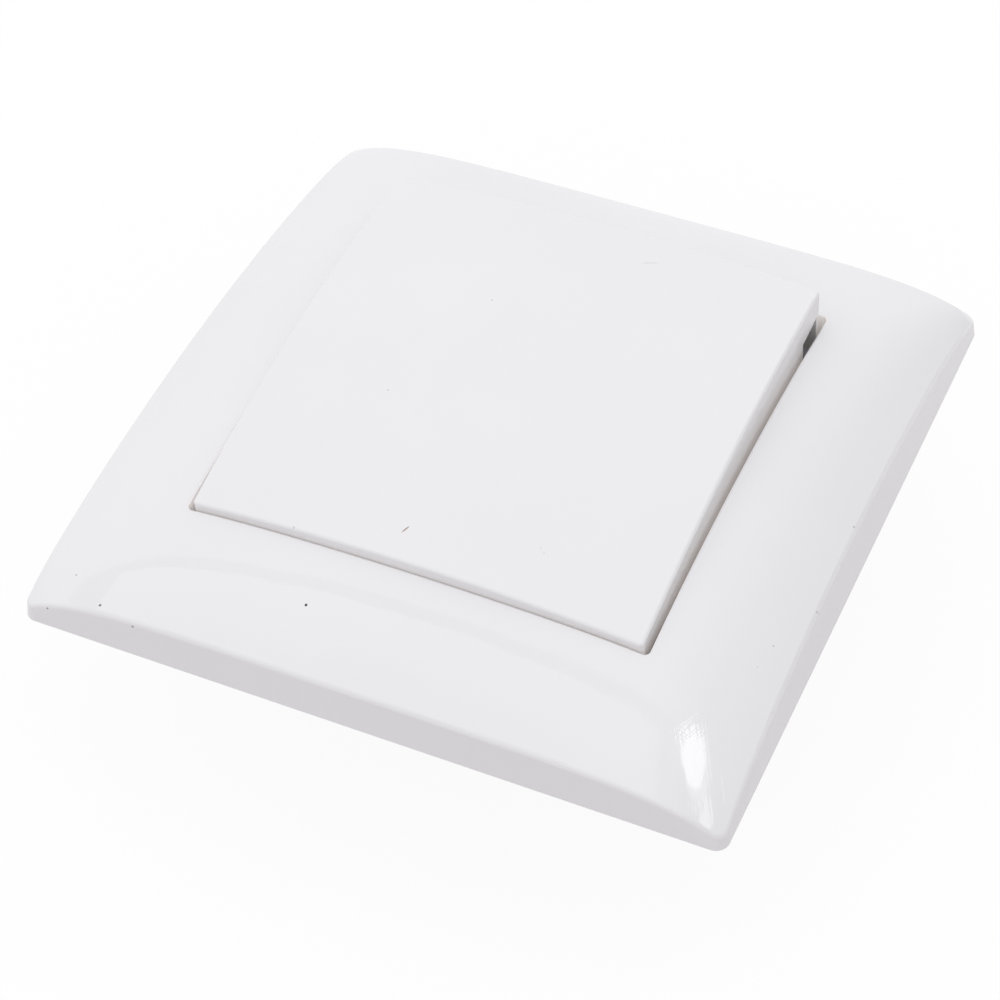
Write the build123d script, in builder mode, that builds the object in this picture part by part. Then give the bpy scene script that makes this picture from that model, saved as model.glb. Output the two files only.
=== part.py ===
from build123d import *
from math import cos, radians, sin, tan
import os

# A flush wall switch: a domed cover frame round one wide rocker, on a steel plate that carries a
# single-pole mechanism with spreading claws.
# X runs along the rocker's hinge, Y up the wall and Z out of the wall, in millimetres.
# The origin is the middle of the wall plane, where the frame's rim and the plate's back stand.
# The rocker is modelled at rest, with its lower edge pressed in.

# Cover frame
FRAME_SIZE = 85.0
FRAME_CORNER_R = 2.5
FRAME_DRAFT = 5.5  # lean of the outer walls, in degrees
FRAME_WALL = 2.2
FRAME_ROOF = 2.0
FRAME_EDGE_R = 0.8
CROWN_HEIGHT = 12.9  # height of the domed face over the middle of the opening
CROWN_FALL_X = 2.44  # fall of the dome from the middle to the left and right edges
CROWN_FALL_Y = 4.2  # fall of the dome from the middle to the lower and upper edges
EDGE_FALL = 3.69  # further roll-off close to each outer edge
CORNER_LIFT = 1.03  # what the two roll-offs give back where they meet at a corner
OPENING_CORNER_R = 0.7
OPENING_EDGE_R = 0.2
COLLAR_WALL = 1.5
COLLAR_FOOT = 3.6  # height of the collar's lower end over the wall

# Rocker
ROCKER_SIZE = 54.5
ROCKER_GAP = 0.7  # all round, between the rocker and the frame's opening
ROCKER_CORNER_R = 0.5
ROCKER_EDGE_R = 0.35
ROCKER_WALL = 1.4
ROCKER_ROOF = 1.8
ROCKER_CROWN = 10.75  # height of the rocker's middle over the hinge
ROCKER_FALL_X = 1.6
ROCKER_FALL_Y = 2.04
SKIRT_FOOT = -0.9  # lower end of the skirt, from the hinge
NOTCH_TOP = 3.7  # upper end of the skirt's notches, from the hinge
NOTCH_WIDTH = 4.4
NOTCH_POST = 1.3  # wall left between a notch and the rocker's end
TILT = 4.4  # tip of the rocker either side of level, in degrees
PIVOT_Z = 5.5  # hinge height over the wall

# Support plate
PLATE_SIZE = 71.0
PLATE_T = 1.0
PLATE_CORNER_R = 6.0
PLATE_WINDOW_X = 23.0
PLATE_WINDOW_Y = 26.0
BOX_SCREW_SPACING = 60.0
BOX_SLOT_LENGTH = 7.5
BOX_SLOT_WIDTH = 4.0
CLIP_X = 18.0  # places of the four bent-up clips that hold the frame
CLIP_Y = 33.0  # outer face of a clip
CLIP_WIDTH = 7.0
CLIP_TOP = 6.0
CLIP_WINDOW_WIDTH = 4.4
CLIP_WINDOW_FOOT = 3.0
CLIP_WINDOW_TOP = 4.7
CLIP_RELIEF = 0.3  # cut left beside each clip where it was bent up
SNAP_CLEARANCE = 0.2
SNAP_RIB_T = 1.4
SNAP_RIB_WIDTH = 5.6

# Pivot carrier
CARRIER_X = 38.0
CARRIER_Y = 40.0
CARRIER_T = 1.6
CARRIER_CORNER_R = 3.0
EAR_T = 2.6
EAR_R = 4.0
EAR_CLEARANCE = 0.3
TUBE_SIDE_GAP = 1.0
TUBE_STOP = 0.1  # gap left between the dolly's tube and the carrier's window at the end of a tip
SCREW_X = 15.5
SCREW_Y = 16.0
SCREW_R = 1.25
SCREW_HEAD_R = 2.4
SCREW_HEAD_T = 1.6
SCREW_LENGTH = 11.0
SCREW_CLEARANCE = 0.25

# Dolly
DOLLY_X = 20.6
DOLLY_Y = 18.0
DOLLY_TOP = 3.0  # from the hinge
DOLLY_T = 1.6
HUB_WIDTH = 4.4
HUB_FOOT = -2.2
TRUNNION_R = 2.0
RUNNING_CLEARANCE = 0.06
TUBE_R = 3.2
TUBE_FOOT = -8.0
BORE_R = 1.65
BORE_TOP = 1.2
LEG_T = 1.4
LEG_WIDTH = 9.0
LEG_FOOT = 0.2
HOOK_REACH = 0.8
SEAT_CLEARANCE = 0.1
SEAT_RIB_T = 1.2
SEAT_RIB_X = 6.0

# Plunger and spring
PLUNGER_R = 1.58
PLUNGER_TOP = -3.0  # from the hinge
PLUNGER_LENGTH = 8.4
SPRING_WIRE = 0.5
SPRING_R = 1.2
SPRING_TURNS = 4
SPRING_GAP = 0.08

# See-saw contact
SEESAW_Z = -7.4  # its axis, over the wall plane
SEESAW_TIP = 7.9  # tip either side of level, in degrees
SEESAW_WIDTH = 5.6
SEESAW_END = 2.0  # blade beyond the rivet
SEESAW_FOOT = 0.6  # underside of the blade, from its axis
SEESAW_T = 0.8
ROLL_R = 1.0
ROLL_LENGTH = 8.0
TIP_REACH = 10.5  # contact rivet, from the axis
TIP_R = 2.2
TIP_T = 1.05
TIP_SHANK_R = 1.0
TIP_PEEN_R = 1.5
TIP_PEEN_T = 0.4
CONTACT_GAP = 0.12  # left between the closed contacts

# Contact strips
STRIP_T = 1.0
STRIP_Z = -12.0  # underside of the strips, over the wall plane
STRIP_X = 7.0
FULCRUM_EAR_T = 0.8
FULCRUM_EAR_Y = 4.8
FULCRUM_EAR_CLEARANCE = 0.3
FULCRUM_EAR_RISE = 0.5  # ear above the see-saw's axis
STOP_T = 0.8
STOP_X = 3.2
STOP_GAP = 0.2
LOAD_STRIP_END = 8.0  # inner end of the load strip, from the middle

# Terminals
PILLAR_X = 10.0
PILLAR_Y = 8.0
PILLAR_BEYOND = 3.5  # wire bores, beyond the contact rivets
WIRE_X = 2.5
WIRE_R = 1.4
WIRE_ENTRY_R = 1.6
CLAMP_SCREW_Z = -18.0
CLAMP_SCREW_R = 1.45
CLAMP_HOLE_R = 1.5
CLAMP_HEAD_R = 2.1
CLAMP_HEAD_T = 2.2
CLAMP_HEAD_GAP = 0.1
SLOT_WIDTH = 0.7  # screwdriver slots
SLOT_DEPTH = 0.8

# Housing
HOUSING_X = 40.0
HOUSING_END = 3.0  # from a pillar to the housing's outer face
HOUSING_DEPTH = 24.0
HOUSING_CORNER_R = 4.0
HOUSING_WALL = 1.6
HOUSING_EDGE_R = 0.8
BOSS_R = 2.8
RECESS_X = 12.0
RECESS_Y = 12.0
RECESS_DEPTH = 8.6
CHAMBER_X = 14.0
POCKET_CLEARANCE = 0.05
ACCESS_CLEARANCE = 0.3

# Claws
CLAW_PIN_X = 17.8
CLAW_PIN_Z = -5.5
CLAW_PIN_R = 1.0
CLAW_PIN_SEAT = 2.0
CLAW_T = 1.2
CLAW_WIDTH = 11.0
CLAW_SIDE_GAP = 0.4
CLAW_BACK_GAP = 0.45
CLAW_LEVER = 5.0  # from a claw's pin to its screw
CLAW_SWING = 22.0  # in degrees
CLAW_FOOT_Z = -18.6
CLAW_BEND_R = 1.4
CLAW_TOE_REACH = 2.0
CLAW_TOE_DROP = 1.2
CLAW_TOOTH_DEPTH = 1.0
CLAW_TEETH = 3
CLAW_SCREW_R = 1.45
CLAW_SCREW_LENGTH = 16.0
CLAW_HEAD_R = 2.7
CLAW_HEAD_T = 1.8
CLAW_SLOT_CLEARANCE = 0.3
NUT_R = 2.5
NUT_LENGTH = 8.0
NUT_GAP = 0.1
NUT_SIDE_GAP = 0.4

# Values worked out from these
FRAME_HALF = FRAME_SIZE / 2
ROCKER_HALF = ROCKER_SIZE / 2
OPENING = ROCKER_SIZE + 2 * ROCKER_GAP
EAR_X = DOLLY_X / 2 + EAR_CLEARANCE
CARRIER_TOP = PLATE_T + CARRIER_T
SEESAW_LENGTH = 2 * (TIP_REACH + SEESAW_END)
PILLAR_AT = TIP_REACH + PILLAR_BEYOND
PILLAR_OUT = PILLAR_AT + PILLAR_Y / 2
HOUSING_Y = 2 * (PILLAR_OUT + HOUSING_END)
CHAMBER_Y = HOUSING_Y - 2 * HOUSING_WALL
PILLAR_FOOT = -HOUSING_DEPTH + HOUSING_WALL
CLAW_EYE_R = CLAW_PIN_R + RUNNING_CLEARANCE + CLAW_T
CLAW_BAY_X = CLAW_PIN_X - CLAW_EYE_R - CLAW_BACK_GAP
CLAW_BAY_Y = CLAW_WIDTH + 2 * CLAW_SIDE_GAP
CLAW_SCREW_X = CLAW_PIN_X + CLAW_LEVER
CLAW_ARM_X = CLAW_SCREW_X + NUT_R + NUT_SIDE_GAP + CLAW_T / 2
NUT_Z = CLAW_PIN_Z - CLAW_T / 2 - NUT_GAP - NUT_R
DOME_STEPS = 12
DOME_MARGIN = 1.0
DOME_TOLERANCE = 0.002
CUT = 40.0  # longer than any piece is thick, for cuts that go right through
SIDES = (-1, 1)

# Planes of what rocks, with the hinge at the origin and the piece's own up along Z
rocker_plane = Plane((0, 0, PIVOT_Z), (1, 0, 0), (0, -sin(radians(TILT)), cos(radians(TILT))))
rocker_section = Plane(rocker_plane.origin, rocker_plane.y_dir, rocker_plane.x_dir)
rocker_axis = Axis(rocker_plane.origin, rocker_plane.z_dir)
seesaw_plane = Plane((0, 0, SEESAW_Z), (1, 0, 0), (0, sin(radians(SEESAW_TIP)), cos(radians(SEESAW_TIP))))
seesaw_section = Plane(seesaw_plane.origin, seesaw_plane.y_dir, seesaw_plane.x_dir)

os.makedirs("parts", exist_ok=True)


def save(piece, name):
    """Labels a finished piece and writes it as one file."""
    piece.label = name
    export_step(piece, f"parts/{name}.step")


def frame_crown(x, y):
    """Height of the cover frame's domed face over the wall."""
    u = (x / FRAME_HALF) ** 2
    v = (y / FRAME_HALF) ** 2
    dome = CROWN_FALL_X * u * (1 - v**3) + CROWN_FALL_Y * v
    rolled = EDGE_FALL * (u**3 + v**3) - CORNER_LIFT * u**3 * v**3
    return CROWN_HEIGHT - dome - rolled


def rocker_crown(x, y):
    """Height of the rocker's domed face over the hinge."""
    return ROCKER_CROWN - ROCKER_FALL_X * (x / ROCKER_HALF) ** 2 - ROCKER_FALL_Y * (y / ROCKER_HALF) ** 2


def domed_face(height, half, lowered):
    """A smooth face through a square grid of heights, a little wider than the piece it caps."""
    reach = half + DOME_MARGIN
    steps = [reach * (2 * i / DOME_STEPS - 1) for i in range(DOME_STEPS + 1)]
    grid = [[(x, y, height(x, y) - lowered) for y in steps] for x in steps]
    return Face.make_surface_from_array_of_points(grid, tol=DOME_TOLERANCE, min_deg=3, max_deg=6)


def frame_dome(lowered):
    """All that lies under the cover frame's domed face, lowered by this much."""
    with BuildPart() as dome:
        extrude(domed_face(frame_crown, FRAME_HALF, lowered), amount=CUT, dir=(0, 0, -1))
    return dome.part


def rocker_dome(lowered):
    """All that lies under the rocker's domed face, lowered by this much."""
    face = rocker_plane.from_local_coords(domed_face(rocker_crown, ROCKER_HALF, lowered))
    with BuildPart() as dome:
        extrude(face, amount=CUT, dir=-rocker_plane.z_dir)
    return dome.part


# Cover frame: a drafted square under the dome, hollow behind, with a collar round its opening
with BuildPart() as frame_hollow:
    with BuildSketch():
        hollow_size = FRAME_SIZE - 2 * FRAME_WALL
        RectangleRounded(hollow_size, hollow_size, FRAME_CORNER_R)
    extrude(amount=CROWN_HEIGHT, taper=FRAME_DRAFT)
    add(frame_dome(FRAME_ROOF), mode=Mode.INTERSECT)
    with BuildSketch(Plane.XY.offset(COLLAR_FOOT)):
        Rectangle(OPENING + 2 * COLLAR_WALL, OPENING + 2 * COLLAR_WALL)
    extrude(amount=CUT, mode=Mode.SUBTRACT)

# Snap ribs behind the frame, each with a nub that enters a clip's window
rib_in = CLIP_Y + SNAP_CLEARANCE
nub_foot = CLIP_WINDOW_FOOT + SNAP_CLEARANCE
nub_top = CLIP_WINDOW_TOP - SNAP_CLEARANCE
nub_width = CLIP_WINDOW_WIDTH - 2 * SNAP_CLEARANCE
with BuildPart() as snap_ribs:
    with BuildSketch(Plane.XY.offset(PLATE_T)):
        with Locations(*[(x * CLIP_X, y * (rib_in + SNAP_RIB_T / 2)) for x in SIDES for y in SIDES]):
            Rectangle(SNAP_RIB_WIDTH, SNAP_RIB_T)
    extrude(amount=CROWN_HEIGHT)
    with BuildSketch(Plane.XY.offset(nub_foot)):
        with Locations(*[(x * CLIP_X, y * (rib_in - PLATE_T / 2)) for x in SIDES for y in SIDES]):
            Rectangle(nub_width, PLATE_T)
    extrude(amount=nub_top - nub_foot)
    add(frame_dome(FRAME_ROOF / 2), mode=Mode.INTERSECT)

with BuildPart() as cover_frame:
    with BuildSketch():
        RectangleRounded(FRAME_SIZE, FRAME_SIZE, FRAME_CORNER_R)
    extrude(amount=CROWN_HEIGHT + DOME_MARGIN, taper=FRAME_DRAFT)
    add(frame_dome(0.0), mode=Mode.INTERSECT)
    fillet(cover_frame.faces().sort_by(Axis.Z)[-1].edges(), FRAME_EDGE_R)
    with BuildSketch():
        RectangleRounded(OPENING, OPENING, OPENING_CORNER_R)
    extrude(amount=CUT, mode=Mode.SUBTRACT)
    fillet(cover_frame.faces().sort_by(Axis.Z)[-1].inner_wires()[0].edges(), OPENING_EDGE_R)
    add(frame_hollow.part, mode=Mode.SUBTRACT)
    add(snap_ribs.part)
save(cover_frame.part, "cover_frame")

# Rocker: a thin shell under its own dome, snapped over the dolly
with BuildPart() as rocker_hollow:
    with BuildSketch(rocker_plane.offset(SKIRT_FOOT)):
        Rectangle(ROCKER_SIZE - 2 * ROCKER_WALL, ROCKER_SIZE - 2 * ROCKER_WALL)
    extrude(amount=ROCKER_CROWN)
    add(rocker_dome(ROCKER_ROOF), mode=Mode.INTERSECT)

leg_in = DOLLY_Y / 2 + SEAT_CLEARANCE
with BuildPart() as rocker_legs:
    with BuildSketch(rocker_plane.offset(LEG_FOOT)):
        with Locations(*[(0, side * (leg_in + LEG_T / 2)) for side in SIDES]):
            Rectangle(LEG_WIDTH, LEG_T)
    extrude(amount=ROCKER_CROWN)
    with BuildSketch(rocker_plane.offset(LEG_FOOT)):
        with Locations(*[(0, side * (leg_in - HOOK_REACH / 2)) for side in SIDES]):
            Rectangle(LEG_WIDTH, HOOK_REACH)
    extrude(amount=DOLLY_TOP - DOLLY_T - SEAT_CLEARANCE - LEG_FOOT)
    with BuildSketch(rocker_plane.offset(DOLLY_TOP)):
        with Locations(*[(side * SEAT_RIB_X, 0) for side in SIDES]):
            Rectangle(SEAT_RIB_T, DOLLY_Y)
    extrude(amount=ROCKER_CROWN)
    add(rocker_dome(ROCKER_ROOF / 2), mode=Mode.INTERSECT)

notch_y = ROCKER_HALF - NOTCH_POST - NOTCH_WIDTH / 2
with BuildPart() as rocker:
    with BuildSketch(rocker_plane.offset(SKIRT_FOOT)):
        RectangleRounded(ROCKER_SIZE, ROCKER_SIZE, ROCKER_CORNER_R)
    extrude(amount=ROCKER_CROWN - SKIRT_FOOT + DOME_MARGIN)
    add(rocker_dome(0.0), mode=Mode.INTERSECT)
    fillet(rocker.faces().sort_by(rocker_axis)[-1].edges(), ROCKER_EDGE_R)
    add(rocker_hollow.part, mode=Mode.SUBTRACT)
    with BuildSketch(rocker_plane.offset(SKIRT_FOOT)):
        with Locations(*[(x * ROCKER_HALF, y * notch_y) for x in SIDES for y in SIDES]):
            Rectangle(4 * ROCKER_WALL, NOTCH_WIDTH)
    extrude(amount=NOTCH_TOP - SKIRT_FOOT, mode=Mode.SUBTRACT)
    add(rocker_legs.part)
save(rocker.part, "rocker")

# Dolly: a platform on a hub between two trunnions, with the plunger's tube below
with BuildPart() as dolly:
    with BuildSketch(rocker_plane.offset(DOLLY_TOP)):
        RectangleRounded(DOLLY_X, DOLLY_Y, DOLLY_T / 2)
    extrude(amount=-DOLLY_T)
    with BuildSketch(rocker_plane.offset(HUB_FOOT)):
        Rectangle(DOLLY_X, HUB_WIDTH)
    extrude(amount=DOLLY_TOP - HUB_FOOT)
    with BuildSketch(rocker_plane.offset(TUBE_FOOT)):
        Circle(TUBE_R)
    extrude(amount=DOLLY_TOP - TUBE_FOOT)
    with BuildSketch(rocker_section):
        Circle(TRUNNION_R)
    extrude(amount=EAR_X + EAR_T, both=True)
    with BuildSketch(rocker_plane.offset(TUBE_FOOT)):
        Circle(BORE_R)
    extrude(amount=BORE_TOP - TUBE_FOOT, mode=Mode.SUBTRACT)
save(dolly.part, "dolly")

# Pivot carrier: a plate on the support plate, with two ears that hold the dolly's trunnions
stop_y = TUBE_R + (PIVOT_Z - PLATE_T) * sin(radians(TILT)) + TUBE_STOP
with BuildPart() as pivot_carrier:
    with BuildSketch(Plane.XY.offset(PLATE_T)):
        RectangleRounded(CARRIER_X, CARRIER_Y, CARRIER_CORNER_R)
        Rectangle(2 * (TUBE_R + TUBE_SIDE_GAP), 2 * stop_y, mode=Mode.SUBTRACT)
        with GridLocations(2 * SCREW_X, 2 * SCREW_Y, 2, 2):
            Circle(SCREW_R + SCREW_CLEARANCE, mode=Mode.SUBTRACT)
    extrude(amount=CARRIER_T)
    for side in SIDES:
        with BuildSketch(Plane.YZ.offset(side * EAR_X)):
            with Locations((0, PIVOT_Z)):
                Circle(EAR_R)
            with Locations((0, (PIVOT_Z + PLATE_T) / 2)):
                Rectangle(2 * EAR_R, PIVOT_Z - PLATE_T)
        extrude(amount=side * EAR_T)
    with BuildSketch(Plane.YZ):
        with Locations((0, PIVOT_Z)):
            Circle(TRUNNION_R + RUNNING_CLEARANCE)
    extrude(amount=CUT, both=True, mode=Mode.SUBTRACT)
save(pivot_carrier.part, "pivot_carrier")

# Support plate: a pressed square with fixing slots and four clips bent up out of it
clip_in = CLIP_Y - PLATE_T
lance = CLIP_TOP - PLATE_T
with BuildPart() as support_plate:
    with BuildSketch():
        RectangleRounded(PLATE_SIZE, PLATE_SIZE, PLATE_CORNER_R)
        Rectangle(PLATE_WINDOW_X, PLATE_WINDOW_Y, mode=Mode.SUBTRACT)
        with GridLocations(BOX_SCREW_SPACING, 0, 2, 1):
            SlotOverall(BOX_SLOT_LENGTH, BOX_SLOT_WIDTH, mode=Mode.SUBTRACT)
        with GridLocations(0, BOX_SCREW_SPACING, 1, 2):
            SlotOverall(BOX_SLOT_LENGTH, BOX_SLOT_WIDTH, rotation=90, mode=Mode.SUBTRACT)
        with GridLocations(2 * SCREW_X, 2 * SCREW_Y, 2, 2):
            Circle(SCREW_R + SCREW_CLEARANCE, mode=Mode.SUBTRACT)
        with GridLocations(2 * CLAW_SCREW_X, 0, 2, 1):
            Circle(CLAW_SCREW_R + SCREW_CLEARANCE, mode=Mode.SUBTRACT)
        with Locations(*[(x * CLIP_X, y * (clip_in - lance / 2)) for x in SIDES for y in SIDES]):
            Rectangle(CLIP_WIDTH + 2 * CLIP_RELIEF, lance, mode=Mode.SUBTRACT)
    extrude(amount=PLATE_T)
    with BuildSketch(Plane.XY.offset(PLATE_T)):
        with Locations(*[(x * CLIP_X, y * (CLIP_Y - PLATE_T / 2)) for x in SIDES for y in SIDES]):
            Rectangle(CLIP_WIDTH, PLATE_T)
    extrude(amount=CLIP_TOP - PLATE_T)
    with BuildSketch(Plane.XY.offset(CLIP_WINDOW_FOOT)):
        with Locations(*[(x * CLIP_X, y * (CLIP_Y - PLATE_T / 2)) for x in SIDES for y in SIDES]):
            Rectangle(CLIP_WINDOW_WIDTH, 2 * PLATE_T)
    extrude(amount=CLIP_WINDOW_TOP - CLIP_WINDOW_FOOT, mode=Mode.SUBTRACT)
save(support_plate.part, "support_plate")

# Housing: the moulded base, with a contact chamber, two terminal pockets and two claw bays, cored out
# round its screw bosses from the front and in the middle from behind
core_in = CHAMBER_X / 2 + HOUSING_WALL
core_out = HOUSING_X / 2 - HOUSING_WALL
core_low = CLAW_BAY_Y / 2 + CLAW_PIN_SEAT + HOUSING_WALL
core_high = HOUSING_Y / 2 - HOUSING_WALL
with BuildPart() as housing:
    with BuildSketch(Plane.XY.offset(-HOUSING_DEPTH)):
        RectangleRounded(HOUSING_X, HOUSING_Y, HOUSING_CORNER_R)
    extrude(amount=HOUSING_DEPTH)
    fillet(housing.faces().sort_by(Axis.Z)[0].edges(), HOUSING_EDGE_R)
    with BuildSketch(Plane.XY.offset(PILLAR_FOOT)):
        for side in SIDES:
            for end in SIDES:
                with Locations((side * (core_in + core_out) / 2, end * (core_low + core_high) / 2)):
                    Rectangle(core_out - core_in, core_high - core_low)
                with Locations((side * SCREW_X, end * SCREW_Y)):
                    Circle(BOSS_R, mode=Mode.SUBTRACT)
    extrude(amount=CUT, mode=Mode.SUBTRACT)
    with BuildSketch(Plane.XY.offset(STRIP_Z)):
        Rectangle(CHAMBER_X, CHAMBER_Y)
    extrude(amount=CUT, mode=Mode.SUBTRACT)
    with BuildSketch(Plane.XY.offset(-HOUSING_DEPTH)):
        RectangleRounded(RECESS_X, RECESS_Y, HOUSING_WALL)
    extrude(amount=RECESS_DEPTH, mode=Mode.SUBTRACT)
    with BuildSketch(Plane.XY.offset(PILLAR_FOOT)):
        with GridLocations(0, 2 * PILLAR_AT, 1, 2):
            Rectangle(PILLAR_X + 2 * POCKET_CLEARANCE, PILLAR_Y + 2 * POCKET_CLEARANCE)
    extrude(amount=CUT, mode=Mode.SUBTRACT)
    with BuildSketch(Plane.XY.offset(-HOUSING_DEPTH)):
        with GridLocations(2 * WIRE_X, 2 * PILLAR_AT, 2, 2):
            Circle(WIRE_ENTRY_R)
    extrude(amount=HOUSING_WALL, mode=Mode.SUBTRACT)
    for side in SIDES:
        with BuildSketch(Plane.XZ.offset(-side * PILLAR_OUT)):
            with Locations((0, CLAMP_SCREW_Z)):
                access = 2 * (CLAMP_HEAD_R + ACCESS_CLEARANCE)
                SlotOverall(2 * WIRE_X + access, access)
        extrude(amount=-side * CUT, mode=Mode.SUBTRACT)
        with BuildSketch(Plane.XY.offset(-HOUSING_DEPTH)):
            with Locations((side * (CLAW_BAY_X + CUT / 2), 0)):
                Rectangle(CUT, CLAW_BAY_Y)
        extrude(amount=CUT, mode=Mode.SUBTRACT)
    with BuildSketch(Plane.XZ):
        with Locations(*[(side * CLAW_PIN_X, CLAW_PIN_Z) for side in SIDES]):
            Circle(CLAW_PIN_R)
    extrude(amount=CLAW_BAY_Y / 2 + CLAW_PIN_SEAT, both=True, mode=Mode.SUBTRACT)
    with BuildSketch():
        with GridLocations(2 * SCREW_X, 2 * SCREW_Y, 2, 2):
            Circle(SCREW_R)
    extrude(amount=-SCREW_LENGTH, mode=Mode.SUBTRACT)
save(housing.part, "housing")

# Plunger: a round-nosed pin in the dolly's tube
plunger_foot = PLUNGER_TOP - PLUNGER_LENGTH
with BuildPart() as plunger:
    with BuildSketch(rocker_section):
        with BuildLine():
            Line((0, plunger_foot), (0, PLUNGER_TOP))
            Line((0, PLUNGER_TOP), (PLUNGER_R, PLUNGER_TOP))
            Line((PLUNGER_R, PLUNGER_TOP), (PLUNGER_R, plunger_foot + PLUNGER_R))
            CenterArc((0, plunger_foot + PLUNGER_R), PLUNGER_R, 0, -90)
        make_face()
    revolve(axis=rocker_axis)
save(plunger.part, "plunger")

# Spring: a coil between the plunger and the closed end of the bore
coil_room = BORE_TOP - PLUNGER_TOP - SPRING_WIRE - 2 * SPRING_GAP
coil_foot = PLUNGER_TOP + SPRING_WIRE / 2 + SPRING_GAP
with BuildPart() as plunger_spring:
    with BuildLine(rocker_plane.offset(coil_foot)) as coil:
        Helix(coil_room / SPRING_TURNS, coil_room, SPRING_R)
    with BuildSketch(Plane(coil.line @ 0, z_dir=coil.line % 0)):
        Circle(SPRING_WIRE / 2)
    sweep()
save(plunger_spring.part, "plunger_spring")

# Moving contact: a see-saw blade on a cross roll
with BuildPart() as moving_contact:
    with BuildSketch(seesaw_plane.offset(SEESAW_FOOT)):
        SlotOverall(SEESAW_LENGTH, SEESAW_WIDTH, rotation=90)
        with Locations((0, -TIP_REACH)):
            Circle(TIP_SHANK_R, mode=Mode.SUBTRACT)
    extrude(amount=SEESAW_T)
    with BuildSketch(seesaw_section):
        Circle(ROLL_R)
    extrude(amount=ROLL_LENGTH / 2, both=True)
save(moving_contact.part, "moving_contact")

# Moving contact tip: a rivet with a crowned head under the blade
tip_top = SEESAW_FOOT + SEESAW_T
tip_edge = SEESAW_FOOT - TIP_T / 2
with BuildPart() as moving_contact_tip:
    with BuildSketch(seesaw_section):
        with BuildLine():
            Polyline(
                (-TIP_REACH, SEESAW_FOOT - TIP_T),
                (-TIP_REACH, tip_top + TIP_PEEN_T),
                (-TIP_REACH + TIP_PEEN_R, tip_top + TIP_PEEN_T),
                (-TIP_REACH + TIP_PEEN_R, tip_top),
                (-TIP_REACH + TIP_SHANK_R, tip_top),
                (-TIP_REACH + TIP_SHANK_R, SEESAW_FOOT),
                (-TIP_REACH + TIP_R, SEESAW_FOOT),
                (-TIP_REACH + TIP_R, tip_edge),
            )
            TangentArc(
                (-TIP_REACH, SEESAW_FOOT - TIP_T),
                (-TIP_REACH + TIP_R, tip_edge),
                tangent=(1, 0),
            )
        make_face()
    tip_at = seesaw_plane.from_local_coords((0, -TIP_REACH, 0))
    revolve(axis=Axis(tip_at, seesaw_plane.z_dir))
save(moving_contact_tip.part, "moving_contact_tip")

# Common strip: lies on its pillar and carries the see-saw between two ears
ear_in = SEESAW_WIDTH / 2 + FULCRUM_EAR_CLEARANCE
strip_top = STRIP_Z + STRIP_T
ear_top = SEESAW_Z + FULCRUM_EAR_RISE
blade_under = SEESAW_Z + SEESAW_FOOT * cos(radians(SEESAW_TIP)) - TIP_REACH * sin(radians(SEESAW_TIP))
with BuildPart() as common_strip:
    with BuildSketch(Plane.XY.offset(STRIP_Z)):
        with Locations((0, (PILLAR_OUT - FULCRUM_EAR_Y / 2) / 2)):
            Rectangle(2 * (ear_in + FULCRUM_EAR_T), PILLAR_OUT + FULCRUM_EAR_Y / 2)
    extrude(amount=STRIP_T)
    for side in SIDES:
        with BuildSketch(Plane.YZ.offset(side * ear_in)):
            with Locations((0, (strip_top + ear_top) / 2)):
                Rectangle(FULCRUM_EAR_Y, ear_top - strip_top)
            with Locations((0, SEESAW_Z)):
                Circle(ROLL_R + RUNNING_CLEARANCE, mode=Mode.SUBTRACT)
        extrude(amount=side * FULCRUM_EAR_T)
    with BuildSketch(Plane.XY.offset(strip_top)):
        with Locations((0, TIP_REACH)):
            Rectangle(STOP_X, STOP_T)
    extrude(amount=blade_under - STOP_GAP - strip_top)
save(common_strip.part, "common_strip")

# Load strip and its contact rivet, under the see-saw's other arm
closed_z = -TIP_REACH * sin(radians(SEESAW_TIP)) + (SEESAW_FOOT - TIP_T) * cos(radians(SEESAW_TIP))
fixed_top = SEESAW_Z + closed_z - CONTACT_GAP
with BuildPart() as load_strip:
    with BuildSketch(Plane.XY.offset(STRIP_Z)):
        with Locations((0, -(PILLAR_OUT + LOAD_STRIP_END) / 2)):
            Rectangle(STRIP_X, PILLAR_OUT - LOAD_STRIP_END)
        with Locations((0, -TIP_REACH)):
            Circle(TIP_SHANK_R, mode=Mode.SUBTRACT)
    extrude(amount=STRIP_T)
save(load_strip.part, "load_strip")

with BuildPart() as fixed_contact_tip:
    with BuildSketch(Plane.XY.offset(strip_top)):
        with Locations((0, -TIP_REACH)):
            Circle(TIP_R)
    extrude(amount=fixed_top - strip_top)
    with BuildSketch(Plane.XY.offset(STRIP_Z)):
        with Locations((0, -TIP_REACH)):
            Circle(TIP_SHANK_R)
    extrude(amount=STRIP_T)
save(fixed_contact_tip.part, "fixed_contact_tip")


def make_pillar(side):
    """A brass terminal block with two wire bores from behind and two clamp screw holes."""
    with BuildPart() as pillar:
        with BuildSketch(Plane.XY.offset(PILLAR_FOOT)):
            with Locations((0, side * PILLAR_AT)):
                Rectangle(PILLAR_X, PILLAR_Y)
                with GridLocations(2 * WIRE_X, 0, 2, 1):
                    Circle(WIRE_R, mode=Mode.SUBTRACT)
        extrude(amount=STRIP_Z - PILLAR_FOOT)
        with BuildSketch(Plane.XZ.offset(-side * PILLAR_OUT)):
            with Locations((0, CLAMP_SCREW_Z)):
                with GridLocations(2 * WIRE_X, 0, 2, 1):
                    Circle(CLAMP_HOLE_R)
        extrude(amount=side * (PILLAR_OUT - PILLAR_AT), mode=Mode.SUBTRACT)
    return pillar.part


save(make_pillar(1), "common_pillar")
save(make_pillar(-1), "load_pillar")

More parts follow.
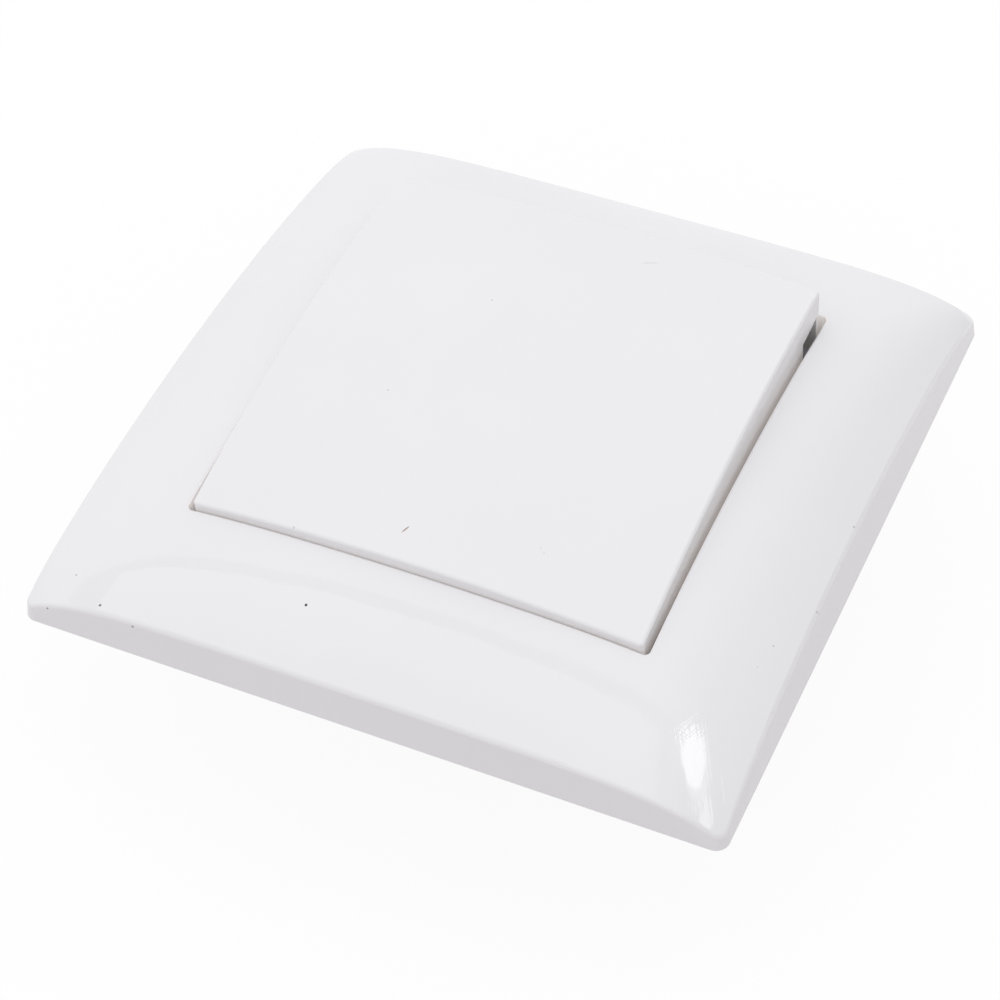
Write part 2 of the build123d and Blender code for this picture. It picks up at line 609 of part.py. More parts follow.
# Terminal screws: backed off, so that their tips stand clear of the wire bores
clamp_tip = PILLAR_AT + WIRE_R + CLAMP_HEAD_GAP
clamp_seat = PILLAR_OUT + CLAMP_HEAD_GAP
clamp_end = clamp_seat + CLAMP_HEAD_T
with BuildPart() as terminal_screws:
    for side in SIDES:
        with BuildSketch(Plane.XZ.offset(-side * clamp_tip)):
            with Locations(*[(x * WIRE_X, CLAMP_SCREW_Z) for x in SIDES]):
                Circle(CLAMP_SCREW_R)
        extrude(amount=-side * (clamp_seat - clamp_tip))
        with BuildSketch(Plane.XZ.offset(-side * clamp_seat)):
            with Locations(*[(x * WIRE_X, CLAMP_SCREW_Z) for x in SIDES]):
                Circle(CLAMP_HEAD_R)
        extrude(amount=-side * CLAMP_HEAD_T)
        with BuildSketch(Plane.XZ.offset(-side * clamp_end)):
            with Locations(*[(x * WIRE_X, CLAMP_SCREW_Z) for x in SIDES]):
                Rectangle(2 * CLAMP_HEAD_R, SLOT_WIDTH)
        extrude(amount=side * SLOT_DEPTH, mode=Mode.SUBTRACT)
save(terminal_screws.part, "terminal_screws")

# Carrier screws: hold carrier, plate and housing together
head_top = CARRIER_TOP + SCREW_HEAD_T
with BuildPart() as carrier_screws:
    with BuildSketch(Plane.XY.offset(CARRIER_TOP)):
        with GridLocations(2 * SCREW_X, 2 * SCREW_Y, 2, 2):
            Circle(SCREW_HEAD_R)
    extrude(amount=SCREW_HEAD_T)
    with BuildSketch(Plane.XY.offset(CARRIER_TOP)):
        with GridLocations(2 * SCREW_X, 2 * SCREW_Y, 2, 2):
            Circle(SCREW_R)
    extrude(amount=-SCREW_LENGTH)
    with BuildSketch(Plane.XY.offset(head_top)):
        with GridLocations(2 * SCREW_X, 2 * SCREW_Y, 2, 2):
            Rectangle(2 * SCREW_HEAD_R, SLOT_WIDTH)
    extrude(amount=-SLOT_DEPTH, mode=Mode.SUBTRACT)
save(carrier_screws.part, "carrier_screws")

# Claw pins: one in each bay of the housing
with BuildPart() as claw_pins:
    with BuildSketch(Plane.XZ):
        with Locations(*[(side * CLAW_PIN_X, CLAW_PIN_Z) for side in SIDES]):
            Circle(CLAW_PIN_R)
    extrude(amount=CLAW_BAY_Y / 2 + CLAW_PIN_SEAT, both=True)
save(claw_pins.part, "claw_pins")

# Ends of the slot in a claw, from its pin, so that the screw stays clear as the claw swings out
slot_in = CLAW_LEVER - CLAW_SCREW_R - CLAW_SLOT_CLEARANCE
slot_reach = (CLAW_LEVER + CLAW_SCREW_R) / cos(radians(CLAW_SWING))
slot_out = slot_reach + CLAW_T / 2 * tan(radians(CLAW_SWING)) + CLAW_SLOT_CLEARANCE


def make_claw(side):
    """A bent strip rolled round its pin, with a lug for the screw and an arm with a toothed toe."""
    with BuildPart() as claw:
        with BuildSketch(Plane.XZ):
            with BuildLine():
                FilletPolyline(
                    (side * CLAW_PIN_X, CLAW_PIN_Z),
                    (side * CLAW_ARM_X, CLAW_PIN_Z),
                    (side * CLAW_ARM_X, CLAW_FOOT_Z + CLAW_TOE_DROP),
                    (side * (CLAW_ARM_X + CLAW_TOE_REACH), CLAW_FOOT_Z),
                    radius=CLAW_BEND_R,
                )
            trace(line_width=CLAW_T)
            with Locations((side * CLAW_PIN_X, CLAW_PIN_Z)):
                Circle(CLAW_EYE_R)
                Circle(CLAW_PIN_R + RUNNING_CLEARANCE, mode=Mode.SUBTRACT)
        extrude(amount=CLAW_WIDTH / 2, both=True)
        with BuildSketch(Plane.XY.offset(CLAW_PIN_Z)):
            with Locations((side * (CLAW_PIN_X + (slot_in + slot_out) / 2), 0)):
                Rectangle(slot_out - slot_in, 2 * (CLAW_SCREW_R + CLAW_SLOT_CLEARANCE))
        extrude(amount=CLAW_T, both=True, mode=Mode.SUBTRACT)
        toe_x = CLAW_ARM_X + CLAW_TOE_REACH + CLAW_T
        pitch = CLAW_WIDTH / CLAW_TEETH
        with BuildSketch(Plane.XY.offset(CLAW_FOOT_Z - CLAW_T)):
            for tooth in range(CLAW_TEETH + 1):
                y = (tooth - CLAW_TEETH / 2) * pitch
                with BuildLine():
                    Polyline(
                        (side * toe_x, y - pitch / 2),
                        (side * (toe_x - CLAW_TOOTH_DEPTH - CLAW_T), y),
                        (side * toe_x, y + pitch / 2),
                        close=True,
                    )
                make_face()
        extrude(amount=CLAW_TOE_DROP + 3 * CLAW_T, mode=Mode.SUBTRACT)
    return claw.part


def make_claw_nut(side):
    """A barrel nut that lies under the claw's lug, across the screw."""
    with BuildPart() as nut:
        with BuildSketch(Plane.XZ):
            with Locations((side * CLAW_SCREW_X, NUT_Z)):
                Circle(NUT_R)
        extrude(amount=NUT_LENGTH / 2, both=True)
        with BuildSketch(Plane.XY.offset(NUT_Z)):
            with Locations((side * CLAW_SCREW_X, 0)):
                Circle(CLAW_SCREW_R + RUNNING_CLEARANCE)
        extrude(amount=CUT, both=True, mode=Mode.SUBTRACT)
    return nut.part


def make_claw_screw(side):
    """A slotted screw through the support plate that draws the nut and the claw up."""
    with BuildPart() as screw:
        with BuildSketch(Plane.XY.offset(PLATE_T)):
            with Locations((side * CLAW_SCREW_X, 0)):
                Circle(CLAW_HEAD_R)
        extrude(amount=CLAW_HEAD_T)
        with BuildSketch(Plane.XY.offset(PLATE_T)):
            with Locations((side * CLAW_SCREW_X, 0)):
                Circle(CLAW_SCREW_R)
        extrude(amount=-CLAW_SCREW_LENGTH)
        with BuildSketch(Plane.XY.offset(PLATE_T + CLAW_HEAD_T)):
            with Locations((side * CLAW_SCREW_X, 0)):
                Rectangle(2 * CLAW_HEAD_R, SLOT_WIDTH)
        extrude(amount=-SLOT_DEPTH, mode=Mode.SUBTRACT)
    return screw.part


for side, hand in zip(SIDES, ("left", "right")):
    save(make_claw(side), f"claw_{hand}")
    save(make_claw_nut(side), f"claw_nut_{hand}")
    save(make_claw_screw(side), f"claw_screw_{hand}")
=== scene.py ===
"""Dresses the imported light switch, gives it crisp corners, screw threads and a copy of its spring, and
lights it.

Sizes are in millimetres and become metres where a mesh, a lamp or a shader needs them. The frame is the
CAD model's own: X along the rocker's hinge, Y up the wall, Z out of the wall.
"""
import logging
import math
from dataclasses import dataclass, field
from enum import Enum
from typing import Any

import bpy
from mathutils import Matrix, Vector


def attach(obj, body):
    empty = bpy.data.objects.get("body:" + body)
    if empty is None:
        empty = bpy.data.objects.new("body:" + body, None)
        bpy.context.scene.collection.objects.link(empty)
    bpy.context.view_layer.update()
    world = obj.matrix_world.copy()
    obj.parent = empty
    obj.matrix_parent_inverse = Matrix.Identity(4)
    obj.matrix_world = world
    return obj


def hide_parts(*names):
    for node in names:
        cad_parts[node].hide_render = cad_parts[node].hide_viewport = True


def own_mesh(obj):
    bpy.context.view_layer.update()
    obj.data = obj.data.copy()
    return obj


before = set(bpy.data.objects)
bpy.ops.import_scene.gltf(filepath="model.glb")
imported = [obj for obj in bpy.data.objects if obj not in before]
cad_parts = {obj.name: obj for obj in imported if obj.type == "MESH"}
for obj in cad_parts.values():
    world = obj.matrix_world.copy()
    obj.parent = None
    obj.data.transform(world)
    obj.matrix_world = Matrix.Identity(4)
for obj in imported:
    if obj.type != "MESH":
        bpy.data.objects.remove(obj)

MM = 0.001
SAME_POINT = 1e-7
BLACK = (0.0, 0.0, 0.0)
WHITE = (1.0, 1.0, 1.0)
Colour = tuple[float, float, float]
Triple = tuple[float, float, float]
Socket = bpy.types.NodeSocket
log = logging.getLogger("light_switch")


def metres(sizes: Triple) -> list[float]:
    """The same three sizes in metres."""
    return [size * MM for size in sizes]


class NodeSheet:
    """Adds nodes to one node tree and links them."""

    COLUMN = 190.0

    def __init__(self, tree: bpy.types.NodeTree) -> None:
        """Starts on an emptied tree.

        Args:
            tree: the material's, world's or group's node tree.
        """
        self.tree = tree
        self.tree.nodes.clear()

    def add(self, kind: str, settings: dict[str, Any] | None = None, **inputs: Any) -> bpy.types.Node:
        """Adds one node.

        Args:
            kind: the node's type name without its "ShaderNode" prefix.
            settings: properties of the node itself.
            inputs: values or output sockets for its inputs, by name with _ for a space.

        Returns:
            The new node.
        """
        node = self.tree.nodes.new("ShaderNode" + kind)
        node.location = (self.COLUMN * len(self.tree.nodes), 0.0)
        for name, value in (settings or {}).items():
            setattr(node, name, value)
        for name, value in inputs.items():
            self.feed(node.inputs[name.replace("_", " ")], value)
        return node

    def feed(self, socket: Socket, value: Any) -> None:
        """Links an output socket to an input, or sets the input's own value.

        Args:
            socket: the input.
            value: an output socket, or what the input takes.
        """
        if isinstance(value, Socket):
            self.tree.links.new(value, socket)
        else:
            socket.default_value = value

    def maths(self, operation: str, first: Any, second: Any = 0.0) -> Socket:
        """Adds a Math node.

        Args:
            operation: Blender's name for it, such as "MULTIPLY".
            first: a number or an output socket.
            second: a number or an output socket.

        Returns:
            Its output socket.
        """
        node = self.add("Math", {"operation": operation})
        self.feed(node.inputs[0], first)
        self.feed(node.inputs[1], second)
        return node.outputs[0]

    def vector(self, operation: str, first: Any, second: Any) -> bpy.types.Node:
        """Adds a Vector Math node.

        Args:
            operation: Blender's name for it, such as "SUBTRACT".
            first: a vector or an output socket.
            second: a vector or an output socket.

        Returns:
            The node, whose "Vector" or "Value" output is read.
        """
        node = self.add("VectorMath", {"operation": operation})
        self.feed(node.inputs[0], first)
        self.feed(node.inputs[1], second)
        return node

    def ramp(self, value: Any, low: float, high: float, start: float, end: float) -> Socket:
        """Adds a smooth Map Range node.

        Args:
            value: the output socket that is mapped.
            low: the value that gives start.
            high: the value that gives end.
            start: result at low and below it.
            end: result at high and above it.

        Returns:
            Its output socket.
        """
        return self.span(value, low, high, start, end, "SMOOTHSTEP")

    def span(
        self, value: Any, low: Any = 0.0, high: Any = 1.0, start: Any = 0.0, end: Any = 1.0,
        curve: str = "LINEAR",
    ) -> Socket:
        """Adds a Map Range node.

        Args:
            value: the output socket that is mapped.
            low: the value that gives start, as a number or an output socket.
            high: the value that gives end, as a number or an output socket.
            start: result at low and below it, as a number or an output socket.
            end: result at high and above it, as a number or an output socket.
            curve: Blender's name for the way between the ends.

        Returns:
            Its output socket.
        """
        node = self.add("MapRange", {"interpolation_type": curve}, Value=value)
        for name, number in (("From Min", low), ("From Max", high), ("To Min", start), ("To Max", end)):
            self.feed(node.inputs[name], number)
        return node.outputs["Result"]

    def blend(self, mask: Any, first: Any, second: Any) -> Socket:
        """Adds a colour Mix node.

        Args:
            mask: where the second colour shows, as a number or an output socket.
            first: a colour of three numbers, or an output socket.
            second: a colour of three numbers, or an output socket.

        Returns:
            Its output socket.
        """
        node = self.add("Mix", {"data_type": "RGBA"})
        self.feed(node.inputs[0], mask)
        for socket, value in ((node.inputs[6], first), (node.inputs[7], second)):
            self.feed(socket, value if isinstance(value, Socket) else (*value, 1.0))
        return node.outputs[2]

    def mixed(self, share: Any, first: Any, second: Any) -> Socket:
        """Adds a Mix Shader node.

        Args:
            share: how much of the second shader shows, as an output socket.
            first: the first shader's output socket.
            second: the second shader's output socket.

        Returns:
            Its output socket.
        """
        node = self.add("MixShader")
        for socket, value in zip(node.inputs, (share, first, second)):
            self.feed(socket, value)
        return node.outputs["Shader"]

    def noise(self, place: Any, scale: Any, detail: float = 2.0) -> Socket:
        """Adds a Noise node.

        Args:
            place: the output socket of its coordinates.
            scale: features per metre, as a number or an output socket.
            detail: octaves.

        Returns:
            Its value output, around a half.
        """
        node = self.add("TexNoise", None, Vector=place, Scale=scale, Detail=detail)
        return node.outputs[0]

    def here(self) -> Socket:
        """The point's own place on the object, in metres."""
        return self.add("TexCoord").outputs["Object"]


class Effects:
    """The shader node groups that the finishes share.

    A band is the part of a noise's values that becomes a mask from 0 to 1, an edge is where a mark
    fades out, and a scale is per metre.
    """

    CLOUD_BAND = (0.3, 0.7)
    PATCH_BAND = (0.42, 0.68)
    LINE_EDGE = (0.2, 1.0)
    BREAK_SCALE = 140.0
    BREAK_BAND = (0.45, 0.6)
    SPOT_EDGE = (0.55, 1.0)
    TINT_SCALE = 90.0
    TINT_BAND = (0.35, 0.65)
    ROLLED_STRETCH = (1.0, 0.02, 1.0)
    TARNISH_BAND = (0.4, 0.66)
    MARK_STRETCH = (0.12, 0.12, 1.0)

    def __init__(self) -> None:
        """Builds each group once."""
        self.moulded_skin = self._moulded_skin()
        self.hairlines = self._hairlines()
        self.spot_mask = self._spot_mask()
        self.rolled_sheet = self._rolled_sheet()
        self.tarnish = self._tarnish()
        self.lit_rim = self._lit_rim()

    @staticmethod
    def _group(name: str, inputs: dict[str, Any], outputs: tuple[str, ...]) -> tuple[NodeSheet, Any, Any]:
        """Starts a group with its sockets.

        Args:
            name: the group's name.
            inputs: default values by socket name: a number, or three numbers for a vector.
            outputs: names of its outputs, all single values.

        Returns:
            The sheet to draw on, the group's input node and its output node.
        """
        tree = bpy.data.node_groups.new(name, "ShaderNodeTree")
        for label, value in inputs.items():
            kind = "NodeSocketVector" if isinstance(value, tuple) else "NodeSocketFloat"
            tree.interface.new_socket(label, in_out="INPUT", socket_type=kind).default_value = value
        for label in outputs:
            tree.interface.new_socket(label, in_out="OUTPUT", socket_type="NodeSocketFloat")
        sheet = NodeSheet(tree)
        return sheet, tree.nodes.new("NodeGroupInput"), tree.nodes.new("NodeGroupOutput")

    def _moulded_skin(self) -> bpy.types.NodeTree:
        """Cloudy tone, patchy gloss and a fine relief, as moulded plastic has.

        Returns:
            The group's node tree.
        """
        inputs = {"Cloud Scale": 60.0, "Patch Scale": 35.0, "Grain Scale": 400.0}
        sheet, given, made = self._group("moulded_skin", inputs, ("Tone", "Patch", "Height"))
        place = sheet.here()
        cloud = sheet.noise(place, given.outputs["Cloud Scale"], 3.0)
        patch = sheet.noise(place, given.outputs["Patch Scale"], 4.0)
        grain = sheet.noise(place, given.outputs["Grain Scale"], 2.0)
        sheet.feed(made.inputs["Tone"], sheet.ramp(cloud, *self.CLOUD_BAND, 0.0, 1.0))
        sheet.feed(made.inputs["Patch"], sheet.ramp(patch, *self.PATCH_BAND, 0.0, 1.0))
        sheet.feed(made.inputs["Height"], grain)
        return sheet.tree

    def _hairlines(self) -> bpy.types.NodeTree:
        """Long fine scratches along one direction, broken into lengths.

        Returns:
            The group's node tree.
        """
        inputs = {"Turn": 0.0, "Across": 900.0, "Along": 26.0, "Width": 0.03}
        sheet, given, made = self._group("hairlines", inputs, ("Mask",))
        place = sheet.here()
        turned = sheet.add(
            "VectorRotate", {"rotation_type": "Z_AXIS"}, Vector=place, Angle=given.outputs["Turn"]
        )
        stretch = sheet.add("CombineXYZ", None, X=given.outputs["Across"], Y=given.outputs["Along"])
        sheet.feed(stretch.inputs["Z"], given.outputs["Along"])
        drawn = sheet.vector("MULTIPLY", turned.outputs["Vector"], stretch.outputs["Vector"])
        wander = sheet.noise(drawn.outputs["Vector"], 1.0, 1.0)
        off_line = sheet.maths("ABSOLUTE", sheet.maths("SUBTRACT", wander, 0.5))
        widths_off = sheet.maths("DIVIDE", off_line, given.outputs["Width"])
        line = sheet.ramp(widths_off, *self.LINE_EDGE, 1.0, 0.0)
        broken = sheet.ramp(sheet.noise(place, self.BREAK_SCALE), *self.BREAK_BAND, 0.0, 1.0)
        sheet.feed(made.inputs["Mask"], sheet.maths("MULTIPLY", line, broken))
        return sheet.tree

    def _spot_mask(self) -> bpy.types.NodeTree:
        """Mask of one speck, hair, smear, painted pip highlight or scuff patch at a given place.

        Returns:
            The group's node tree.
        """
        inputs = {"Centre": (0.0, 0.0, 0.0), "Reach": (MM, MM, MM), "Turn": 0.0, "Weight": 1.0}
        sheet, given, made = self._group("spot_mask", inputs, ("Mask",))
        away = sheet.vector("SUBTRACT", sheet.here(), given.outputs["Centre"])
        turned = sheet.add(
            "VectorRotate",
            {"rotation_type": "Z_AXIS", "invert": True},
            Vector=away.outputs["Vector"],
            Angle=given.outputs["Turn"],
        )
        share = sheet.vector("DIVIDE", turned.outputs["Vector"], given.outputs["Reach"])
        distance = sheet.add("VectorMath", {"operation": "LENGTH"})
        sheet.feed(distance.inputs[0], share.outputs["Vector"])
        mask = sheet.ramp(distance.outputs["Value"], *self.SPOT_EDGE, 1.0, 0.0)
        sheet.feed(made.inputs["Mask"], sheet.maths("MULTIPLY", mask, given.outputs["Weight"]))
        return sheet.tree

    def _rolled_sheet(self) -> bpy.types.NodeTree:
        """Zinc crystals and the faint lines of the rolling mill.

        Returns:
            The group's node tree.
        """
        inputs = {"Crystal Scale": 1100.0, "Line Scale": 2600.0}
        sheet, given, made = self._group("rolled_sheet", inputs, ("Crystal", "Tint", "Line"))
        place = sheet.here()
        cells = sheet.add("TexVoronoi", None, Vector=place, Scale=given.outputs["Crystal Scale"])
        shade = sheet.add("SeparateColor", None, Color=cells.outputs["Color"])
        drawn = sheet.vector("MULTIPLY", place, self.ROLLED_STRETCH)
        tint = sheet.noise(place, self.TINT_SCALE, 3.0)
        line = sheet.noise(drawn.outputs["Vector"], given.outputs["Line Scale"], 2.0)
        sheet.feed(made.inputs["Crystal"], shade.outputs[0])
        sheet.feed(made.inputs["Tint"], sheet.ramp(tint, *self.TINT_BAND, 0.0, 1.0))
        sheet.feed(made.inputs["Line"], line)
        return sheet.tree

    def _tarnish(self) -> bpy.types.NodeTree:
        """Dull patches and fine tool marks on bare or plated metal.

        Returns:
            The group's node tree.
        """
        inputs = {"Patch Scale": 220.0, "Mark Scale": 3200.0}
        sheet, given, made = self._group("tarnish", inputs, ("Patch", "Mark"))
        place = sheet.here()
        patch = sheet.noise(place, given.outputs["Patch Scale"], 4.0)
        drawn = sheet.vector("MULTIPLY", place, self.MARK_STRETCH)
        mark = sheet.noise(drawn.outputs["Vector"], given.outputs["Mark Scale"], 2.0)
        sheet.feed(made.inputs["Patch"], sheet.ramp(patch, *self.TARNISH_BAND, 0.0, 1.0))
        sheet.feed(made.inputs["Mark"], mark)
        return sheet.tree

    def _lit_rim(self) -> bpy.types.NodeTree:
        """Mask for the painted glow on the wall of a square opening, near its rim: an emission that stands
        in for light coming through thin plastic.

        Returns:
            The group's node tree.
        """
        inputs = {"Half Width": 1.0, "Corner": 0.1, "Low": 0.0, "High": 1.0}
        sheet, given, made = self._group("lit_rim", inputs, ("Mask",))
        place = sheet.add("SeparateXYZ", None, Vector=sheet.here())
        straight = sheet.maths("SUBTRACT", given.outputs["Half Width"], given.outputs["Corner"])
        past = sheet.add("CombineXYZ")
        for axis in ("X", "Y"):
            beyond = sheet.maths("SUBTRACT", sheet.maths("ABSOLUTE", place.outputs[axis]), straight)
            sheet.feed(past.inputs[axis], sheet.maths("MAXIMUM", beyond, 0.0))
        out = sheet.add("VectorMath", {"operation": "LENGTH"})
        sheet.feed(out.inputs[0], past.outputs["Vector"])
        inside = sheet.maths("LESS_THAN", out.outputs["Value"], given.outputs["Corner"])
        rise = sheet.span(place.outputs["Z"], given.outputs["Low"], given.outputs["High"])
        sheet.feed(made.inputs["Mask"], sheet.maths("MULTIPLY", inside, rise))
        return sheet.tree


class DirtAndHighlight(Enum):
    """Colours of what lies on the white plastic, and of the painted highlight where small pips catch light.
    """

    DARK = (0.035, 0.03, 0.03)
    GREY = (0.42, 0.4, 0.38)
    BROWN = (0.26, 0.13, 0.06)
    # painted highlight: light dots where small pips on the rocker's skirt catch light, in place of their
    # relief
    PIP_HIGHLIGHT = (0.93, 0.92, 0.91)


@dataclass(frozen=True)
class DirtAndHighlightSpot:
    """A speck, hair, smear or painted pip highlight, by its place at rest and its half sizes, in millimetres
    and degrees.
    """

    dirt_and_highlight: DirtAndHighlight
    centre: Triple
    reach: Triple
    turn: float = 0.0
    weight: float = 1.0


@dataclass(frozen=True)
class Scuff:
    """A patch of close scratches, by its place at rest and its half sizes, in millimetres and degrees."""

    centre: Triple
    reach: Triple
    turn: float
    depth: float = 1.8
    across: float = 1800.0
    along: float = 45.0
    width: float = 0.12


@dataclass(frozen=True)
class WhiteGloss:
    """Glossy white moulding with handling scratches and a few specks."""

    name: str
    colour: Colour
    clouded: Colour
    roughness: float = 0.035
    smudged: float = 0.075
    scratch_turn: float = 27.0
    relief: float = 2.4e-6
    scratch_depth: float = 0.9
    spots: tuple[DirtAndHighlightSpot, ...] = ()
    # colour of a painted glow on the opening's wall, an emission standing in for light through thin plastic;
    # black leaves it off
    painted_rim_glow: Colour = BLACK
    rim_half: float = 28.06
    rim_corner: float = 0.76
    rim_low: float = 3.0
    rim_high: float = 9.0
    scuffs: tuple[Scuff, ...] = ()

    def material(self, effects: Effects) -> bpy.types.Material:
        """Builds the material.

        Args:
            effects: the shared node groups.

        Returns:
            The finished material.
        """
        material, sheet, shader = start_material(self.name)
        skin = sheet.add("Group", {"node_tree": effects.moulded_skin})
        lines = sheet.add("Group", {"node_tree": effects.hairlines}, Turn=math.radians(self.scratch_turn))
        clean = sheet.blend(skin.outputs["Tone"], self.colour, self.clouded)
        gloss = sheet.ramp(skin.outputs["Patch"], 0.0, 1.0, self.roughness, self.smudged)
        scratched = sheet.maths("MULTIPLY", lines.outputs["Mask"], self.scratch_depth)
        unscuffed = sheet.maths("SUBTRACT", skin.outputs["Height"], scratched)
        height = self._scuffed(sheet, effects, unscuffed)
        cover(sheet, shader, self._spotted(sheet, effects, clean), gloss, height, self.relief)
        # painted glow: the frame's opening wall emits light, though it is no lamp
        if any(self.painted_rim_glow):
            sheet.feed(shader.inputs["Emission Color"], self._rim_glow(sheet, effects))
            shader.inputs["Emission Strength"].default_value = 1.0
        return material

    def _spotted(self, sheet: NodeSheet, effects: Effects, colour: Any) -> Socket:
        """Lays the specks, hairs and smears, and the painted pip highlights, over the clean colour.

        Args:
            sheet: the material's sheet.
            effects: the shared node groups.
            colour: the clean colour's output socket.

        Returns:
            The output socket of the spotted colour.
        """
        for spot in self.spots:
            mark = sheet.add(
                "Group", {"node_tree": effects.spot_mask},
                Centre=metres(spot.centre), Reach=metres(spot.reach),
                Turn=math.radians(spot.turn), Weight=spot.weight,
            )
            colour = sheet.blend(mark.outputs["Mask"], colour, spot.dirt_and_highlight.value)
        return colour

    def _scuffed(self, sheet: NodeSheet, effects: Effects, height: Any) -> Socket:
        """Cuts the scuffs into the relief.

        Args:
            sheet: the material's sheet.
            effects: the shared node groups.
            height: the output socket of the relief without them.

        Returns:
            The output socket of the scuffed relief.
        """
        for scuff in self.scuffs:
            rubbed = sheet.add(
                "Group", {"node_tree": effects.spot_mask},
                Centre=metres(scuff.centre), Reach=metres(scuff.reach), Weight=scuff.depth,
            )
            scratches = sheet.add(
                "Group", {"node_tree": effects.hairlines},
                Turn=math.radians(scuff.turn), Across=scuff.across, Along=scuff.along, Width=scuff.width,
            )
            cut = sheet.maths("MULTIPLY", rubbed.outputs["Mask"], scratches.outputs["Mask"])
            height = sheet.maths("SUBTRACT", height, cut)
        return height

    def _rim_glow(self, sheet: NodeSheet, effects: Effects) -> Socket:
        """Paints a faint glow on the opening's wall: an emission that stands in for light coming through the
        thin plastic.

        Args:
            sheet: the material's sheet.
            effects: the shared node groups.

        Returns:
            The output socket of its colour.
        """
        rim = sheet.add(
            "Group", {"node_tree": effects.lit_rim},
            Half_Width=self.rim_half * MM, Corner=self.rim_corner * MM,
            Low=self.rim_low * MM, High=self.rim_high * MM,
        )
        return sheet.blend(rim.outputs["Mask"], BLACK, self.painted_rim_glow)


@dataclass(frozen=True)
class MattPlastic:
    """Fine matt moulding of the parts inside and behind."""

    name: str
    colour: Colour
    clouded: Colour
    roughness: float = 0.42
    rubbed: float = 0.34
    cloud_scale: float = 150.0
    grain_scale: float = 5200.0
    relief: float = 9.0e-6

    def material(self, effects: Effects) -> bpy.types.Material:
        """Builds the material.

        Args:
            effects: the shared node groups.

        Returns:
            The finished material.
        """
        material, sheet, shader = start_material(self.name)
        skin = sheet.add(
            "Group", {"node_tree": effects.moulded_skin},
            Cloud_Scale=self.cloud_scale, Grain_Scale=self.grain_scale,
        )
        colour = sheet.blend(skin.outputs["Tone"], self.colour, self.clouded)
        gloss = sheet.ramp(skin.outputs["Patch"], 0.0, 1.0, self.roughness, self.rubbed)
        cover(sheet, shader, colour, gloss, skin.outputs["Height"], self.relief)
        return material


@dataclass(frozen=True)
class ZincSheet:
    """Zinc plated sheet with pale crystals and rolling lines."""

    name: str
    colour: Colour = (0.52, 0.535, 0.56)
    warm: Colour = (0.62, 0.61, 0.55)
    crystal_shade: Colour = (0.7, 0.71, 0.73)
    crystal_share: float = 0.3
    roughness: float = 0.44
    bright: float = 0.3
    relief: float = 3.0e-6

    def material(self, effects: Effects) -> bpy.types.Material:
        """Builds the material.

        Args:
            effects: the shared node groups.

        Returns:
            The finished material.
        """
        material, sheet, shader = start_material(self.name)
        rolled = sheet.add("Group", {"node_tree": effects.rolled_sheet})
        tinted = sheet.blend(rolled.outputs["Tint"], self.colour, self.warm)
        share = sheet.ramp(rolled.outputs["Crystal"], 0.0, 1.0, 0.0, self.crystal_share)
        colour = sheet.blend(share, tinted, self.crystal_shade)
        gloss = sheet.ramp(rolled.outputs["Crystal"], 0.0, 1.0, self.roughness, self.bright)
        shader.inputs["Metallic"].default_value = 1.0
        cover(sheet, shader, colour, gloss, rolled.outputs["Line"], self.relief)
        return material


@dataclass(frozen=True)
class BareMetal:
    """Turned, drawn or stamped metal that has begun to dull."""

    name: str
    colour: Colour
    dulled: Colour
    roughness: float = 0.28
    dull_roughness: float = 0.42
    mark_scale: float = 3200.0
    relief: float = 3.0e-6

    def material(self, effects: Effects) -> bpy.types.Material:
        """Builds the material.

        Args:
            effects: the shared node groups.

        Returns:
            The finished material.
        """
        material, sheet, shader = start_material(self.name)
        worn = sheet.add("Group", {"node_tree": effects.tarnish}, Mark_Scale=self.mark_scale)
        colour = sheet.blend(worn.outputs["Patch"], self.colour, self.dulled)
        gloss = sheet.ramp(worn.outputs["Patch"], 0.0, 1.0, self.roughness, self.dull_roughness)
        shader.inputs["Metallic"].default_value = 1.0
        cover(sheet, shader, colour, gloss, worn.outputs["Mark"], self.relief)
        return material


def start_material(name: str) -> tuple[bpy.types.Material, NodeSheet, bpy.types.Node]:
    """Makes an empty material with a Principled shader.

    Args:
        name: the material's name.

    Returns:
        The material, the sheet to draw on and the shader node.
    """
    material = bpy.data.materials.new(name)
    material.use_nodes = True
    sheet = NodeSheet(material.node_tree)
    shader = sheet.add("BsdfPrincipled")
    sheet.add("OutputMaterial", None, Surface=shader.outputs["BSDF"])
    return material, sheet, shader


def cover(
    sheet: NodeSheet, shader: bpy.types.Node, colour: Any, gloss: Any, height: Any, relief: float
) -> None:
    """Feeds a Principled shader its colour, its roughness and the bump of its relief.

    Args:
        sheet: the material's sheet.
        shader: the Principled shader.
        colour: output socket of the base colour.
        gloss: output socket of the roughness.
        height: output socket of the relief, from 0 to 1.
        relief: how deep the relief is, in metres.
    """
    bump = sheet.add("Bump", None, Strength=1.0, Distance=relief, Height=height)
    sheet.feed(shader.inputs["Base Color"], colour)
    sheet.feed(shader.inputs["Roughness"], gloss)
    sheet.feed(shader.inputs["Normal"], bump.outputs["Normal"])


def dress(piece: bpy.types.Object, material: bpy.types.Material) -> None:
    """Gives a piece one material all over.

    Args:
        piece: a new piece or a CAD node.
        material: what it wears.
    """
    piece.data.materials.clear()
    piece.data.materials.append(material)
    log.info("dressed %s in %s", piece.name, material.name)


def select_only(piece: bpy.types.Object) -> None:
    """Selects one object and makes it the active one.

    Args:
        piece: the object.
    """
    bpy.ops.object.select_all(action="DESELECT")
    piece.select_set(True)
    bpy.context.view_layer.objects.active = piece


def settle() -> None:
    """Puts the place, turn and scale of what is selected into its mesh."""
    bpy.ops.object.transform_apply(location=True, rotation=True, scale=True)


